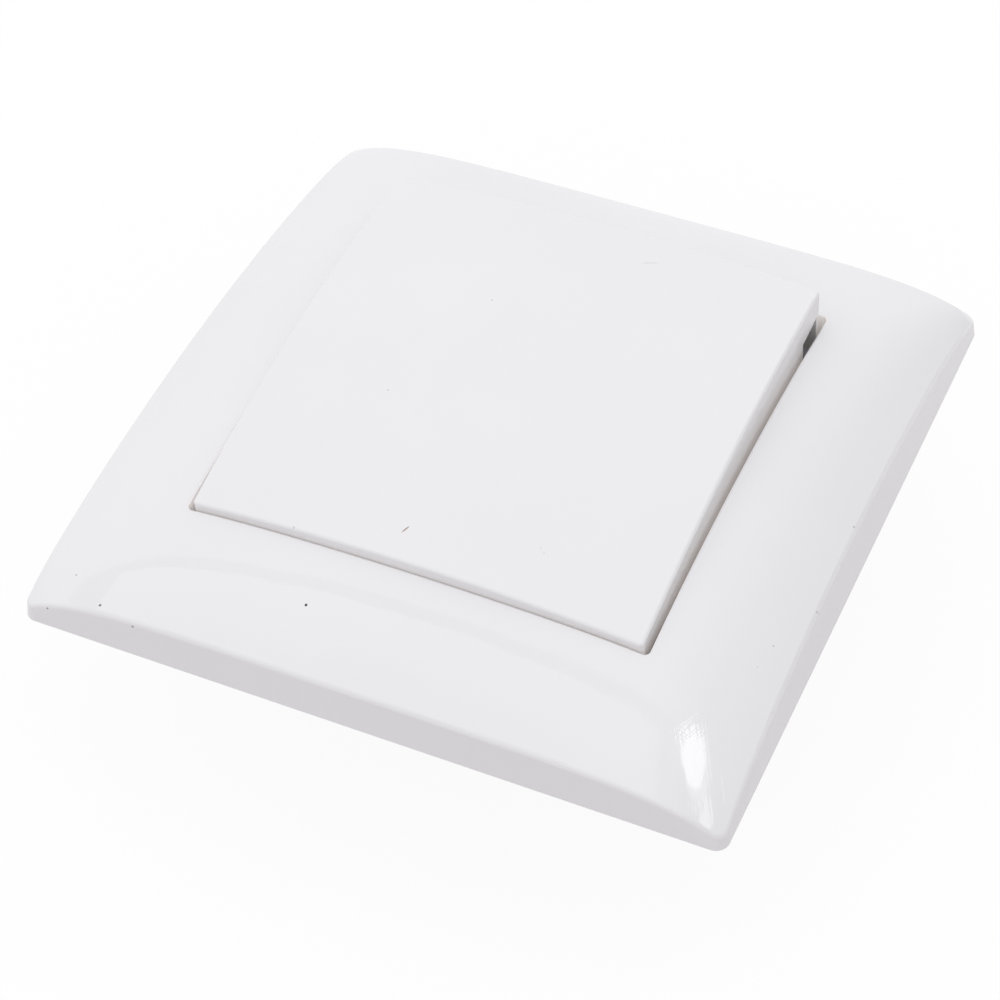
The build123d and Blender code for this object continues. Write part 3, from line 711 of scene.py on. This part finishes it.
def merged_copy(node: str, name: str) -> bpy.types.Object:
    """Copies a CAD node's mesh to a new piece, with its points merged and its shading kept.

    Args:
        node: the CAD node's name.
        name: the new piece's name.

    Returns:
        The new piece.
    """
    piece = bpy.data.objects.new(name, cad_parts[node].data.copy())
    bpy.context.scene.collection.objects.link(piece)
    select_only(piece)
    shading = [corner.vector.copy() for corner in piece.data.corner_normals]
    bpy.ops.object.mode_set(mode="EDIT")
    bpy.ops.mesh.select_all(action="SELECT")
    bpy.ops.mesh.remove_doubles(threshold=SAME_POINT)
    bpy.ops.object.mode_set(mode="OBJECT")
    piece.data.normals_split_custom_set(shading)
    return piece


@dataclass
class CoverFrame:
    """The glossy white frame with crisp, drooping corners, and what lies on it in the photograph."""

    node: str = "cover_frame"
    half: float = 42.5
    corner_radius: float = 2.5
    crisp_radius: float = 1.6
    corner_fade: float = 8.0
    corner_droop: float = 1.2
    droop_power: float = 12.0
    draft: float = 5.5
    crown_height: float = 12.9
    crown_fall_x: float = 2.44
    crown_fall_y: float = 4.2
    edge_fall: float = 3.69
    corner_lift: float = 1.03
    colour: Colour = (0.858, 0.848, 0.862)
    clouded: Colour = (0.848, 0.838, 0.853)
    # colour of the painted glow on the opening's wall, which lights the rocker's skirt in the gap
    painted_rim_glow: Colour = (0.165, 0.149, 0.134)
    scuffs: tuple[Scuff, ...] = (
        Scuff((38.5, -36.5, 6.0), (6.5, 9.0, 6.0), turn=-29.0),
        Scuff((38.3, -38.6, 4.7), (3.6, 4.2, 3.0), turn=-29.0, depth=4.0),
    )
    spots: tuple[DirtAndHighlightSpot, ...] = (
        DirtAndHighlightSpot(DirtAndHighlight.DARK, (-9.39, -35.04, 8.8), (0.2, 0.2, 1.0)),
        DirtAndHighlightSpot(DirtAndHighlight.GREY, (-36.96, -38.35, 5.21), (0.14, 0.14, 1.0), weight=0.8),
        DirtAndHighlightSpot(DirtAndHighlight.DARK, (-32.33, -41.14, 5.13), (0.2, 0.15, 1.0), turn=30.0, weight=0.9),
        DirtAndHighlightSpot(DirtAndHighlight.DARK, (-27.76, -42.07, 4.5), (0.2, 0.4, 0.2), weight=0.6),
        DirtAndHighlightSpot(DirtAndHighlight.DARK, (-38.89, -42.19, 2.74), (0.16, 0.4, 0.16), weight=0.7),
        DirtAndHighlightSpot(DirtAndHighlight.GREY, (39.24, -20.09, 7.58), (0.14, 0.14, 1.0), weight=0.5),
        DirtAndHighlightSpot(DirtAndHighlight.GREY, (38.67, -23.35, 7.49), (0.12, 0.12, 1.0), weight=0.3),
        DirtAndHighlightSpot(DirtAndHighlight.BROWN, (41.74, -13.17, 6.75), (0.3, 0.16, 0.3), weight=0.3),
        DirtAndHighlightSpot(DirtAndHighlight.GREY, (41.39, -0.46, 7.44), (0.14, 0.14, 1.0), weight=0.8),
    )

    def build(self, effects: Effects) -> bpy.types.Object:
        """Builds the frame from the CAD model's, with crisper corners, and dresses it.

        Args:
            effects: the shared node groups.

        Returns:
            The finished piece.
        """
        piece = merged_copy(self.node, "crisp_cover_frame")
        for point in piece.data.vertices:
            point.co = self._crisper(point.co / MM) * MM
        finish = WhiteGloss(
            "frame_white", self.colour, self.clouded,
            spots=self.spots, scuffs=self.scuffs, painted_rim_glow=self.painted_rim_glow,
        )
        dress(piece, finish.material(effects))
        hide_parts(self.node)
        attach(piece, "base")
        return piece

    def _crown(self, x: float, y: float) -> float:
        """Height of the domed face, as the CAD model has it.

        Args:
            x: place along the hinge, in millimetres.
            y: place up the wall, in millimetres.

        Returns:
            The height over the wall, in millimetres.
        """
        u = (x / self.half) ** 2
        v = (y / self.half) ** 2
        dome = self.crown_fall_x * u * (1.0 - v**3) + self.crown_fall_y * v
        rolled = self.edge_fall * (u**3 + v**3) - self.corner_lift * u**3 * v**3
        return self.crown_height - dome - rolled

    def _crisper(self, point: Vector) -> Vector:
        """Where a point of the frame goes when the corners are drawn out to the smaller radius and droop.

        Args:
            point: its place, in millimetres.

        Returns:
            Its new place: along the walls, and down the dome with them.
        """
        middle = self.half - self.corner_radius
        reach = self.corner_radius - math.tan(math.radians(self.draft)) * max(point.z, 0.0)
        past = [abs(value) - middle for value in (point.x, point.y)]
        near = math.prod(min(max(1.0 + value / self.corner_fade, 0.0), 1.0) for value in past)
        moved = Vector(point)
        for axis, value in enumerate(past):
            share = 1.0 - min(max(value / reach, 0.0), 1.0)
            step = (self.corner_radius - self.crisp_radius) * share * near
            moved[axis] += math.copysign(step, point[axis])
        lowered = self._crown(moved.x, moved.y) - self._droop(moved)
        moved.z *= lowered / self._crown(point.x, point.y)
        return moved

    def _droop(self, point: Vector) -> float:
        """How much lower than the CAD model's dome the face is here, close to a corner."""
        share = abs(point.x * point.y) / self.half**2
        return self.corner_droop * share**self.droop_power


@dataclass
class Rocker:
    """The glossy white rocker, with the hair and specks on it, and painted highlights where two pips on its
    right skirt catch light.
    """

    node: str = "rocker"
    colour: Colour = (0.857, 0.849, 0.86)
    clouded: Colour = (0.848, 0.84, 0.852)
    spots: tuple[DirtAndHighlightSpot, ...] = (
        DirtAndHighlightSpot(DirtAndHighlight.BROWN, (-2.3, -24.1, 12.9), (0.66, 0.1, 1.0), turn=64.0, weight=0.85),
        DirtAndHighlightSpot(DirtAndHighlight.GREY, (-14.38, -27.82, 11.65), (0.16, 1.0, 0.12), weight=0.45),
        DirtAndHighlightSpot(DirtAndHighlight.GREY, (-12.25, -7.54, 15.25), (0.12, 0.12, 1.0), weight=0.7),
        DirtAndHighlightSpot(DirtAndHighlight.GREY, (-6.77, 9.06, 16.61), (0.12, 0.12, 1.0), weight=0.7),
        DirtAndHighlightSpot(DirtAndHighlight.GREY, (12.62, -21.17, 13.15), (0.11, 0.11, 1.0), weight=0.35),
        DirtAndHighlightSpot(DirtAndHighlight.GREY, (13.17, -21.61, 13.03), (0.11, 0.11, 1.0), weight=0.35),
        DirtAndHighlightSpot(DirtAndHighlight.BROWN, (7.73, 21.92, 16.4), (1.3, 0.16, 1.0), turn=25.0, weight=0.12),
        # painted highlights: light dots where two small pips on the right skirt catch light
        DirtAndHighlightSpot(DirtAndHighlight.PIP_HIGHLIGHT, (27.25, 13.26, 10.84), (0.6, 0.26, 0.3), weight=0.9),
        DirtAndHighlightSpot(DirtAndHighlight.PIP_HIGHLIGHT, (27.25, 2.66, 11.84), (0.6, 0.16, 0.16), weight=0.7),
    )

    def dress(self, effects: Effects) -> None:
        """Dresses the rocker.

        Args:
            effects: the shared node groups.
        """
        finish = WhiteGloss("rocker_white", self.colour, self.clouded, spots=self.spots)
        dress(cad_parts[self.node], finish.material(effects))


@dataclass
class Mechanism:
    """Everything behind the rocker that keeps its CAD shape."""

    dolly: MattPlastic = MattPlastic("dolly_nylon", (0.74, 0.725, 0.68), (0.7, 0.685, 0.64))
    carrier: MattPlastic = MattPlastic("carrier_grey", (0.6, 0.6, 0.59), (0.56, 0.56, 0.555))
    housing: MattPlastic = MattPlastic(
        "housing_grey", (0.56, 0.56, 0.55), (0.51, 0.51, 0.505), relief=1.4e-5
    )
    sheet: ZincSheet = ZincSheet("zinc_sheet")
    screw: BareMetal = BareMetal("screw_steel", (0.62, 0.62, 0.62), (0.5, 0.49, 0.47))
    spring: BareMetal = BareMetal("spring_wire", (0.5, 0.5, 0.52), (0.4, 0.39, 0.38), roughness=0.22)
    brass: BareMetal = BareMetal("contact_brass", (0.76, 0.54, 0.24), (0.55, 0.37, 0.17))
    silver: BareMetal = BareMetal("contact_silver", (0.84, 0.83, 0.8), (0.5, 0.46, 0.42))
    wears: dict[str, tuple[str, ...]] = field(
        default_factory=lambda: {
            "dolly": ("dolly", "plunger"),
            "carrier": ("pivot_carrier",),
            "housing": ("housing",),
            "sheet": ("support_plate", "claw_left", "claw_right"),
            "screw": ("terminal_screws", "carrier_screws", "claw_pins", "claw_nut_left", "claw_nut_right"),
            "spring": ("plunger_spring",),
            "brass": ("moving_contact", "common_strip", "common_pillar", "load_strip", "load_pillar"),
            "silver": ("moving_contact_tip", "fixed_contact_tip"),
        }
    )

    def dress(self, effects: Effects) -> dict[str, bpy.types.Material]:
        """Dresses each node in its finish.

        Args:
            effects: the shared node groups.

        Returns:
            The materials by finish name.
        """
        materials = {}
        for finish, nodes in self.wears.items():
            materials[finish] = getattr(self, finish).material(effects)
            for node in nodes:
                dress(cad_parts[node], materials[finish])
        return materials


class Side(Enum):
    """The two sides that have a claw, with the sign of their X."""

    LEFT = -1
    RIGHT = 1


@dataclass
class ClawScrew:
    """A slotted screw with a real thread, in place of the CAD model's plain one."""

    side: Side
    screw_x: float = 22.8
    plate_top: float = 1.0
    head_radius: float = 2.7
    head_height: float = 1.8
    head_dome: float = 0.35
    dome_steps: int = 4
    slot_width: float = 0.7
    slot_depth: float = 0.8
    cutter_length: float = 8.1
    root_radius: float = 1.17
    crest_radius: float = 1.44
    pitch: float = 0.5
    crest_share: float = 0.09
    thread_sink: float = 0.1
    thread_merge: float = 0.001
    length: float = 16.0
    plain_length: float = 1.2
    tip_taper: float = 0.5
    steps: int = 24
    smooth_angle: float = 32.0
    end_face: float = 0.9

    @property
    def hand(self) -> str:
        """The side's name, as the nodes and bodies have it."""
        return self.side.name.lower()

    def build(self, material: bpy.types.Material) -> bpy.types.Object:
        """Builds, dresses and places the screw.

        Args:
            material: the screw's steel.

        Returns:
            The finished piece.
        """
        parts = [self._head(), self._core(), self._thread()]
        bpy.ops.object.select_all(action="DESELECT")
        for part in parts:
            part.select_set(True)
        bpy.context.view_layer.objects.active = parts[0]
        bpy.ops.object.join()
        screw = bpy.context.view_layer.objects.active
        screw.name = f"threaded_claw_screw_{self.hand}"
        settle()
        bpy.ops.object.shade_smooth_by_angle(angle=math.radians(self.smooth_angle))
        dress(screw, material)
        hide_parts(f"claw_screw_{self.hand}")
        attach(screw, f"claw_screw_{self.hand}")
        return screw

    def _place(self, height: float) -> Vector:
        """A point on the screw's axis at this height, in metres."""
        return Vector((self.side.value * self.screw_x, 0.0, height)) * MM

    def _cylinder(self, radius: float, low: float, high: float) -> bpy.types.Object:
        """Adds a cylinder between two heights on the screw's axis.

        Args:
            radius: in millimetres.
            low: height of its lower end.
            high: height of its upper end.

        Returns:
            The new object, in edit mode with nothing selected.
        """
        bpy.ops.object.select_all(action="DESELECT")
        bpy.ops.mesh.primitive_cylinder_add(
            vertices=2 * self.steps, radius=radius * MM, depth=(high - low) * MM,
            location=self._place((low + high) / 2),
        )
        settle()
        bpy.ops.object.mode_set(mode="EDIT")
        bpy.ops.mesh.select_all(action="DESELECT")
        return bpy.context.object

    def _pick_face(self, piece: bpy.types.Object, upper: bool) -> None:
        """Selects the end face that points up or down, and leaves edit mode on.

        Args:
            piece: the cylinder.
            upper: whether the upper face is wanted.
        """
        bpy.ops.object.mode_set(mode="OBJECT")
        wanted = 1.0 if upper else -1.0
        for face in piece.data.polygons:
            face.select = face.normal.z * wanted > self.end_face
        bpy.ops.object.mode_set(mode="EDIT")

    def _head(self) -> bpy.types.Object:
        """The slotted pan head, with a rounded rim.

        Returns:
            The new object, on the screw's axis.
        """
        low = self.plate_top
        head = self._cylinder(self.head_radius, low, low + self.head_height)
        bpy.ops.mesh.select_mode(type="FACE")
        self._pick_face(head, upper=True)
        bpy.ops.mesh.bevel(offset=self.head_dome * MM, segments=self.dome_steps, profile=0.5, affect="EDGES")
        bpy.ops.object.mode_set(mode="OBJECT")
        bpy.ops.object.select_all(action="DESELECT")
        bpy.ops.mesh.primitive_cube_add(size=MM, location=self._place(low + self.head_height))
        cutter = bpy.context.object
        cutter.scale = (self.cutter_length, self.slot_width, 2.0 * self.slot_depth)
        settle()
        select_only(head)
        slot = head.modifiers.new("slot", "BOOLEAN")
        slot.operation = "DIFFERENCE"
        slot.object = cutter
        bpy.ops.object.modifier_apply(modifier=slot.name)
        bpy.data.objects.remove(cutter)
        return head

    def _core(self) -> bpy.types.Object:
        """The shank at the thread's root, with a tapered tip.

        Returns:
            The new object, on the screw's axis.
        """
        top = self.plate_top + self.slot_depth / 2
        core = self._cylinder(self.root_radius, self.plate_top - self.length, top)
        bpy.ops.mesh.select_mode(type="FACE")
        self._pick_face(core, upper=False)
        bpy.ops.mesh.bevel(offset=self.tip_taper * MM, segments=1, affect="EDGES")
        bpy.ops.object.mode_set(mode="OBJECT")
        return core

    def _thread(self) -> bpy.types.Object:
        """The ridge of the thread, swept round the shank.

        Returns:
            The new object, on the screw's axis.
        """
        bpy.ops.object.select_all(action="DESELECT")
        low = self.plate_top - self.length + self.tip_taper
        turns = int((self.length - self.plain_length - self.tip_taper) / self.pitch)
        inside = self.root_radius - self.thread_sink
        bpy.ops.mesh.primitive_circle_add(vertices=4, radius=self.pitch / 2 * MM, fill_type="NOTHING")
        ridge = bpy.context.object
        settle()
        half = self.pitch / 2
        crest = self.pitch * self.crest_share
        profile = ((inside, -half), (inside, half), (self.crest_radius, crest), (self.crest_radius, -crest))
        for vertex, (radius, height) in zip(ridge.data.vertices, profile):
            vertex.co = Vector((radius, 0.0, height)) * MM
        sweep = ridge.modifiers.new("thread", "SCREW")
        sweep.angle = 2 * math.pi
        sweep.screw_offset = self.pitch * MM
        sweep.iterations = turns
        sweep.steps = self.steps
        sweep.render_steps = self.steps
        sweep.use_merge_vertices = False
        select_only(ridge)
        bpy.ops.object.modifier_apply(modifier=sweep.name)
        bpy.ops.object.mode_set(mode="EDIT")
        bpy.ops.mesh.select_all(action="SELECT")
        bpy.ops.mesh.remove_doubles(threshold=self.thread_merge * MM)
        bpy.ops.mesh.select_mode(type="EDGE")
        bpy.ops.mesh.select_all(action="DESELECT")
        bpy.ops.mesh.select_non_manifold()
        bpy.ops.mesh.edge_face_add()
        bpy.ops.mesh.select_all(action="SELECT")
        bpy.ops.mesh.normals_make_consistent(inside=False)
        bpy.ops.object.mode_set(mode="OBJECT")
        ridge.location = self._place(low + half)
        settle()
        return ridge


@dataclass
class PlungerSpring:
    """The coil over the plunger, a merged copy of the CAD node carried by the rocker's body."""

    node: str = "plunger_spring"
    joint: str = "plunger_slide"
    axis: Triple = (0.0, -0.07672, 0.99705)
    hinge_z: float = 5.5
    upper_end: float = 1.12
    length: float = 4.04
    stroke: float = 1.0

    def build(self, material: bpy.types.Material) -> bpy.types.Object:
        """Builds and dresses the spring.

        Args:
            material: the spring's wire.

        Returns:
            The finished piece.
        """
        spring = merged_copy(self.node, "plunger_coil")
        dress(spring, material)
        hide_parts(self.node)
        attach(spring, "rocker")
        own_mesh(spring)
        return spring


class LampShape(Enum):
    """Outlines of an area light, by Blender's names."""

    RECTANGLE = "RECTANGLE"
    ELLIPSE = "ELLIPSE"


@dataclass(frozen=True)
class SoftLight:
    """One area light over the switch, in millimetres, with the brightness of its face where 1 is white."""

    name: str
    centre: Triple
    size: tuple[float, float]
    radiance: float
    shape: LampShape = LampShape.RECTANGLE
    gloss_only: bool = False
    rim_width: float = 0.0
    rim_left: float = 0.0
    rim_shade: float = 0.42
    turn: float = 0.0

    def hang(self) -> None:
        """Adds the light, facing down; one for gloss only is mirrored but doesn't light."""
        if self.rim_width:
            self._hang_rim()
        light = bpy.data.lights.new(self.name, "AREA")
        light.shape = self.shape.value
        light.size, light.size_y = (side * MM for side in self.size)
        cover = math.pi / 4 if self.shape is LampShape.ELLIPSE else 1.0
        light.energy = self.radiance * math.pi * light.size * light.size_y * cover
        lamp = bpy.data.objects.new(self.name, light)
        lamp.location = Vector(self.centre) * MM
        lamp.rotation_euler.z = math.radians(self.turn)
        lamp.visible_diffuse = not self.gloss_only
        bpy.context.scene.collection.objects.link(lamp)

    def _hang_rim(self) -> None:
        """Adds the dark rim round the light, which only gloss shows."""
        bpy.ops.object.select_all(action="DESELECT")
        bpy.ops.mesh.primitive_plane_add(size=1.0)
        rim = bpy.context.object
        rim.name = f"{self.name}_rim"
        rim.scale = [(side + 2.0 * self.rim_width) * MM for side in self.size] + [1.0]
        settle()
        bpy.ops.object.mode_set(mode="EDIT")
        bpy.ops.mesh.select_all(action="SELECT")
        bpy.ops.mesh.inset(thickness=self.rim_width * MM)
        bpy.ops.mesh.delete(type="FACE")
        bpy.ops.object.mode_set(mode="OBJECT")
        for point in rim.data.vertices:
            if point.co.x < -(self.size[0] + self.rim_width) / 2 * MM:
                point.co.x -= self.rim_left * MM
        rim.location = Vector(self.centre) * MM
        rim.rotation_euler.z = math.radians(self.turn)
        settle()
        material = bpy.data.materials.new(rim.name)
        material.use_nodes = True
        sheet = NodeSheet(material.node_tree)
        shade = sheet.add("Emission", None, Strength=self.rim_shade)
        sheet.add("OutputMaterial", None, Surface=shade.outputs["Emission"])
        rim.data.materials.append(material)
        for kind in ("camera", "diffuse", "transmission", "shadow"):
            setattr(rim, f"visible_{kind}", False)


@dataclass
class Studio:
    """The camera, the pale floor and the soft lights."""

    azimuth: float = 26.552
    elevation: float = 47.418
    roll: float = -3.115
    camera_at: Triple = (102.683, -210.703, 249.492)
    lens: float = 104.869
    sensor: float = 36.0
    floor_z: float = -24.05
    floor_size: float = 6000.0
    floor_bounce: Colour = (0.505, 0.462, 0.475)
    floor_seen: Colour = WHITE
    floor_roughness: float = 0.9
    floor_glow: float = 0.92
    floor_gloss: float = 0.4
    sky: float = 1.014
    sky_colour: Colour = (0.985, 0.99, 1.0)
    sky_dim_x: float = 0.1
    sky_right: float = 0.72
    gloss_bright_x: float = 0.0
    gloss_dim_x: float = 0.34
    gloss_dim: float = 0.1
    lights: tuple[SoftLight, ...] = (
        SoftLight(
            "ceiling_panel", (-201.0, -332.5, 600.0), (612.0, 667.0), 0.12,
            gloss_only=True, rim_width=42.0, rim_left=150.0, turn=3.2,
        ),
        SoftLight(
            "lamp", (221.0, 17.0, 600.0), (152.0, 118.0), 4.5, shape=LampShape.ELLIPSE, turn=-62.0
        ),
        SoftLight(
            "lamp_side", (246.0, 0.0, 600.0), (186.0, 130.0), 1.6,
            shape=LampShape.ELLIPSE, gloss_only=True, turn=-62.0,
        ),
        SoftLight(
            "lamp_end", (359.0, -92.0, 600.0), (240.0, 84.0), 2.6,
            shape=LampShape.ELLIPSE, gloss_only=True, turn=-32.0,
        ),
    )

    def build(self) -> None:
        """Builds the whole studio."""
        self._camera()
        self._floor()
        self._world()
        for light in self.lights:
            light.hang()
        bpy.context.scene.view_settings.view_transform = "Standard"

    def _camera(self) -> None:
        """Sets the camera where the photograph was taken from."""
        turn, rise, roll = (math.radians(angle) for angle in (self.azimuth, self.elevation, self.roll))
        forward = Vector(
            (-math.sin(turn) * math.cos(rise), math.cos(turn) * math.cos(rise), -math.sin(rise))
        )
        right = Vector((math.cos(turn), math.sin(turn), 0.0))
        up = right.cross(forward)
        rolled_right = math.cos(roll) * right + math.sin(roll) * up
        rolled_up = math.cos(roll) * up - math.sin(roll) * right
        lens = bpy.data.cameras.new("camera")
        lens.lens = self.lens
        lens.sensor_width = self.sensor
        camera = bpy.data.objects.new("camera", lens)
        place = Matrix((rolled_right, rolled_up, -forward)).transposed().to_4x4()
        place.translation = Vector(self.camera_at) * MM
        camera.matrix_world = place
        bpy.context.scene.collection.objects.link(camera)
        bpy.context.scene.camera = camera

    def _floor(self) -> None:
        """Lays a plain pale floor that looks white, keeps a light shadow and is clear from below."""
        bpy.ops.object.select_all(action="DESELECT")
        place = (0.0, 0.0, self.floor_z * MM)
        bpy.ops.mesh.primitive_plane_add(size=self.floor_size * MM, location=place)
        floor = bpy.context.object
        floor.name = "floor"
        material, sheet, shader = start_material("pale_floor")
        shader.inputs["Roughness"].default_value = self.floor_roughness
        shader.inputs["Specular IOR Level"].default_value = 0.0
        glow = sheet.add("Emission", None, Strength=1.0)
        path = sheet.add("LightPath")
        straight = sheet.maths("MAXIMUM", path.outputs["Is Camera Ray"], path.outputs["Is Transmission Ray"])
        mirrored = path.outputs["Is Glossy Ray"]
        seen = sheet.maths("MAXIMUM", straight, mirrored)
        sheet.feed(shader.inputs["Base Color"], sheet.blend(seen, self.floor_bounce, self.floor_seen))
        straight_glow = sheet.maths("MULTIPLY", straight, self.floor_glow)
        mirrored_glow = sheet.maths("MULTIPLY", mirrored, self.floor_gloss)
        share = sheet.maths("MAXIMUM", straight_glow, mirrored_glow)
        lit = sheet.mixed(share, shader.outputs["BSDF"], glow.outputs["Emission"])
        below = sheet.add("NewGeometry").outputs["Backfacing"]
        clear = sheet.add("BsdfTransparent").outputs["BSDF"]
        surface = material.node_tree.nodes["Material Output"].inputs["Surface"]
        sheet.feed(surface, sheet.mixed(below, lit, clear))
        floor.data.materials.append(material)

    def _world(self) -> None:
        """Sets a plain sky: white where it is seen, soft where it lights, dim to the right in gloss."""
        world = bpy.data.worlds.new("studio")
        world.use_nodes = True
        bpy.context.scene.world = world
        sheet = NodeSheet(world.node_tree)
        path = sheet.add("LightPath")
        across = sheet.add("SeparateXYZ", None, Vector=sheet.add("TexCoord").outputs["Generated"])
        dimming = sheet.ramp(
            across.outputs["X"], self.gloss_bright_x, self.gloss_dim_x, 1.0, self.gloss_dim
        )
        right_sky = self.sky * self.sky_right
        lighting = sheet.span(across.outputs["X"], self.sky_dim_x, 1.0, self.sky, right_sky)
        mirrored = sheet.span(path.outputs["Is Glossy Ray"], start=lighting, end=dimming)
        shown = sheet.maths("MAXIMUM", path.outputs["Is Camera Ray"], path.outputs["Is Transmission Ray"])
        strength = sheet.span(shown, start=mirrored)
        sky = sheet.add("Background", None, Color=(*self.sky_colour, 1.0), Strength=strength)
        sheet.add("OutputWorld", None, Surface=sky.outputs["Background"])


def main() -> None:
    """Builds the studio, dresses the switch and adds the pieces that stand for CAD nodes."""
    logging.basicConfig(level=logging.INFO, format="%(message)s")
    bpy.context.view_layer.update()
    Studio().build()
    effects = Effects()
    CoverFrame().build(effects)
    Rocker().dress(effects)
    materials = Mechanism().dress(effects)
    PlungerSpring().build(materials["spring"])
    for side in Side:
        screw = ClawScrew(side).build(materials["screw"])
        log.info("built %s with %d faces", screw.name, len(screw.data.polygons))


if __name__ == "__main__":
    main()
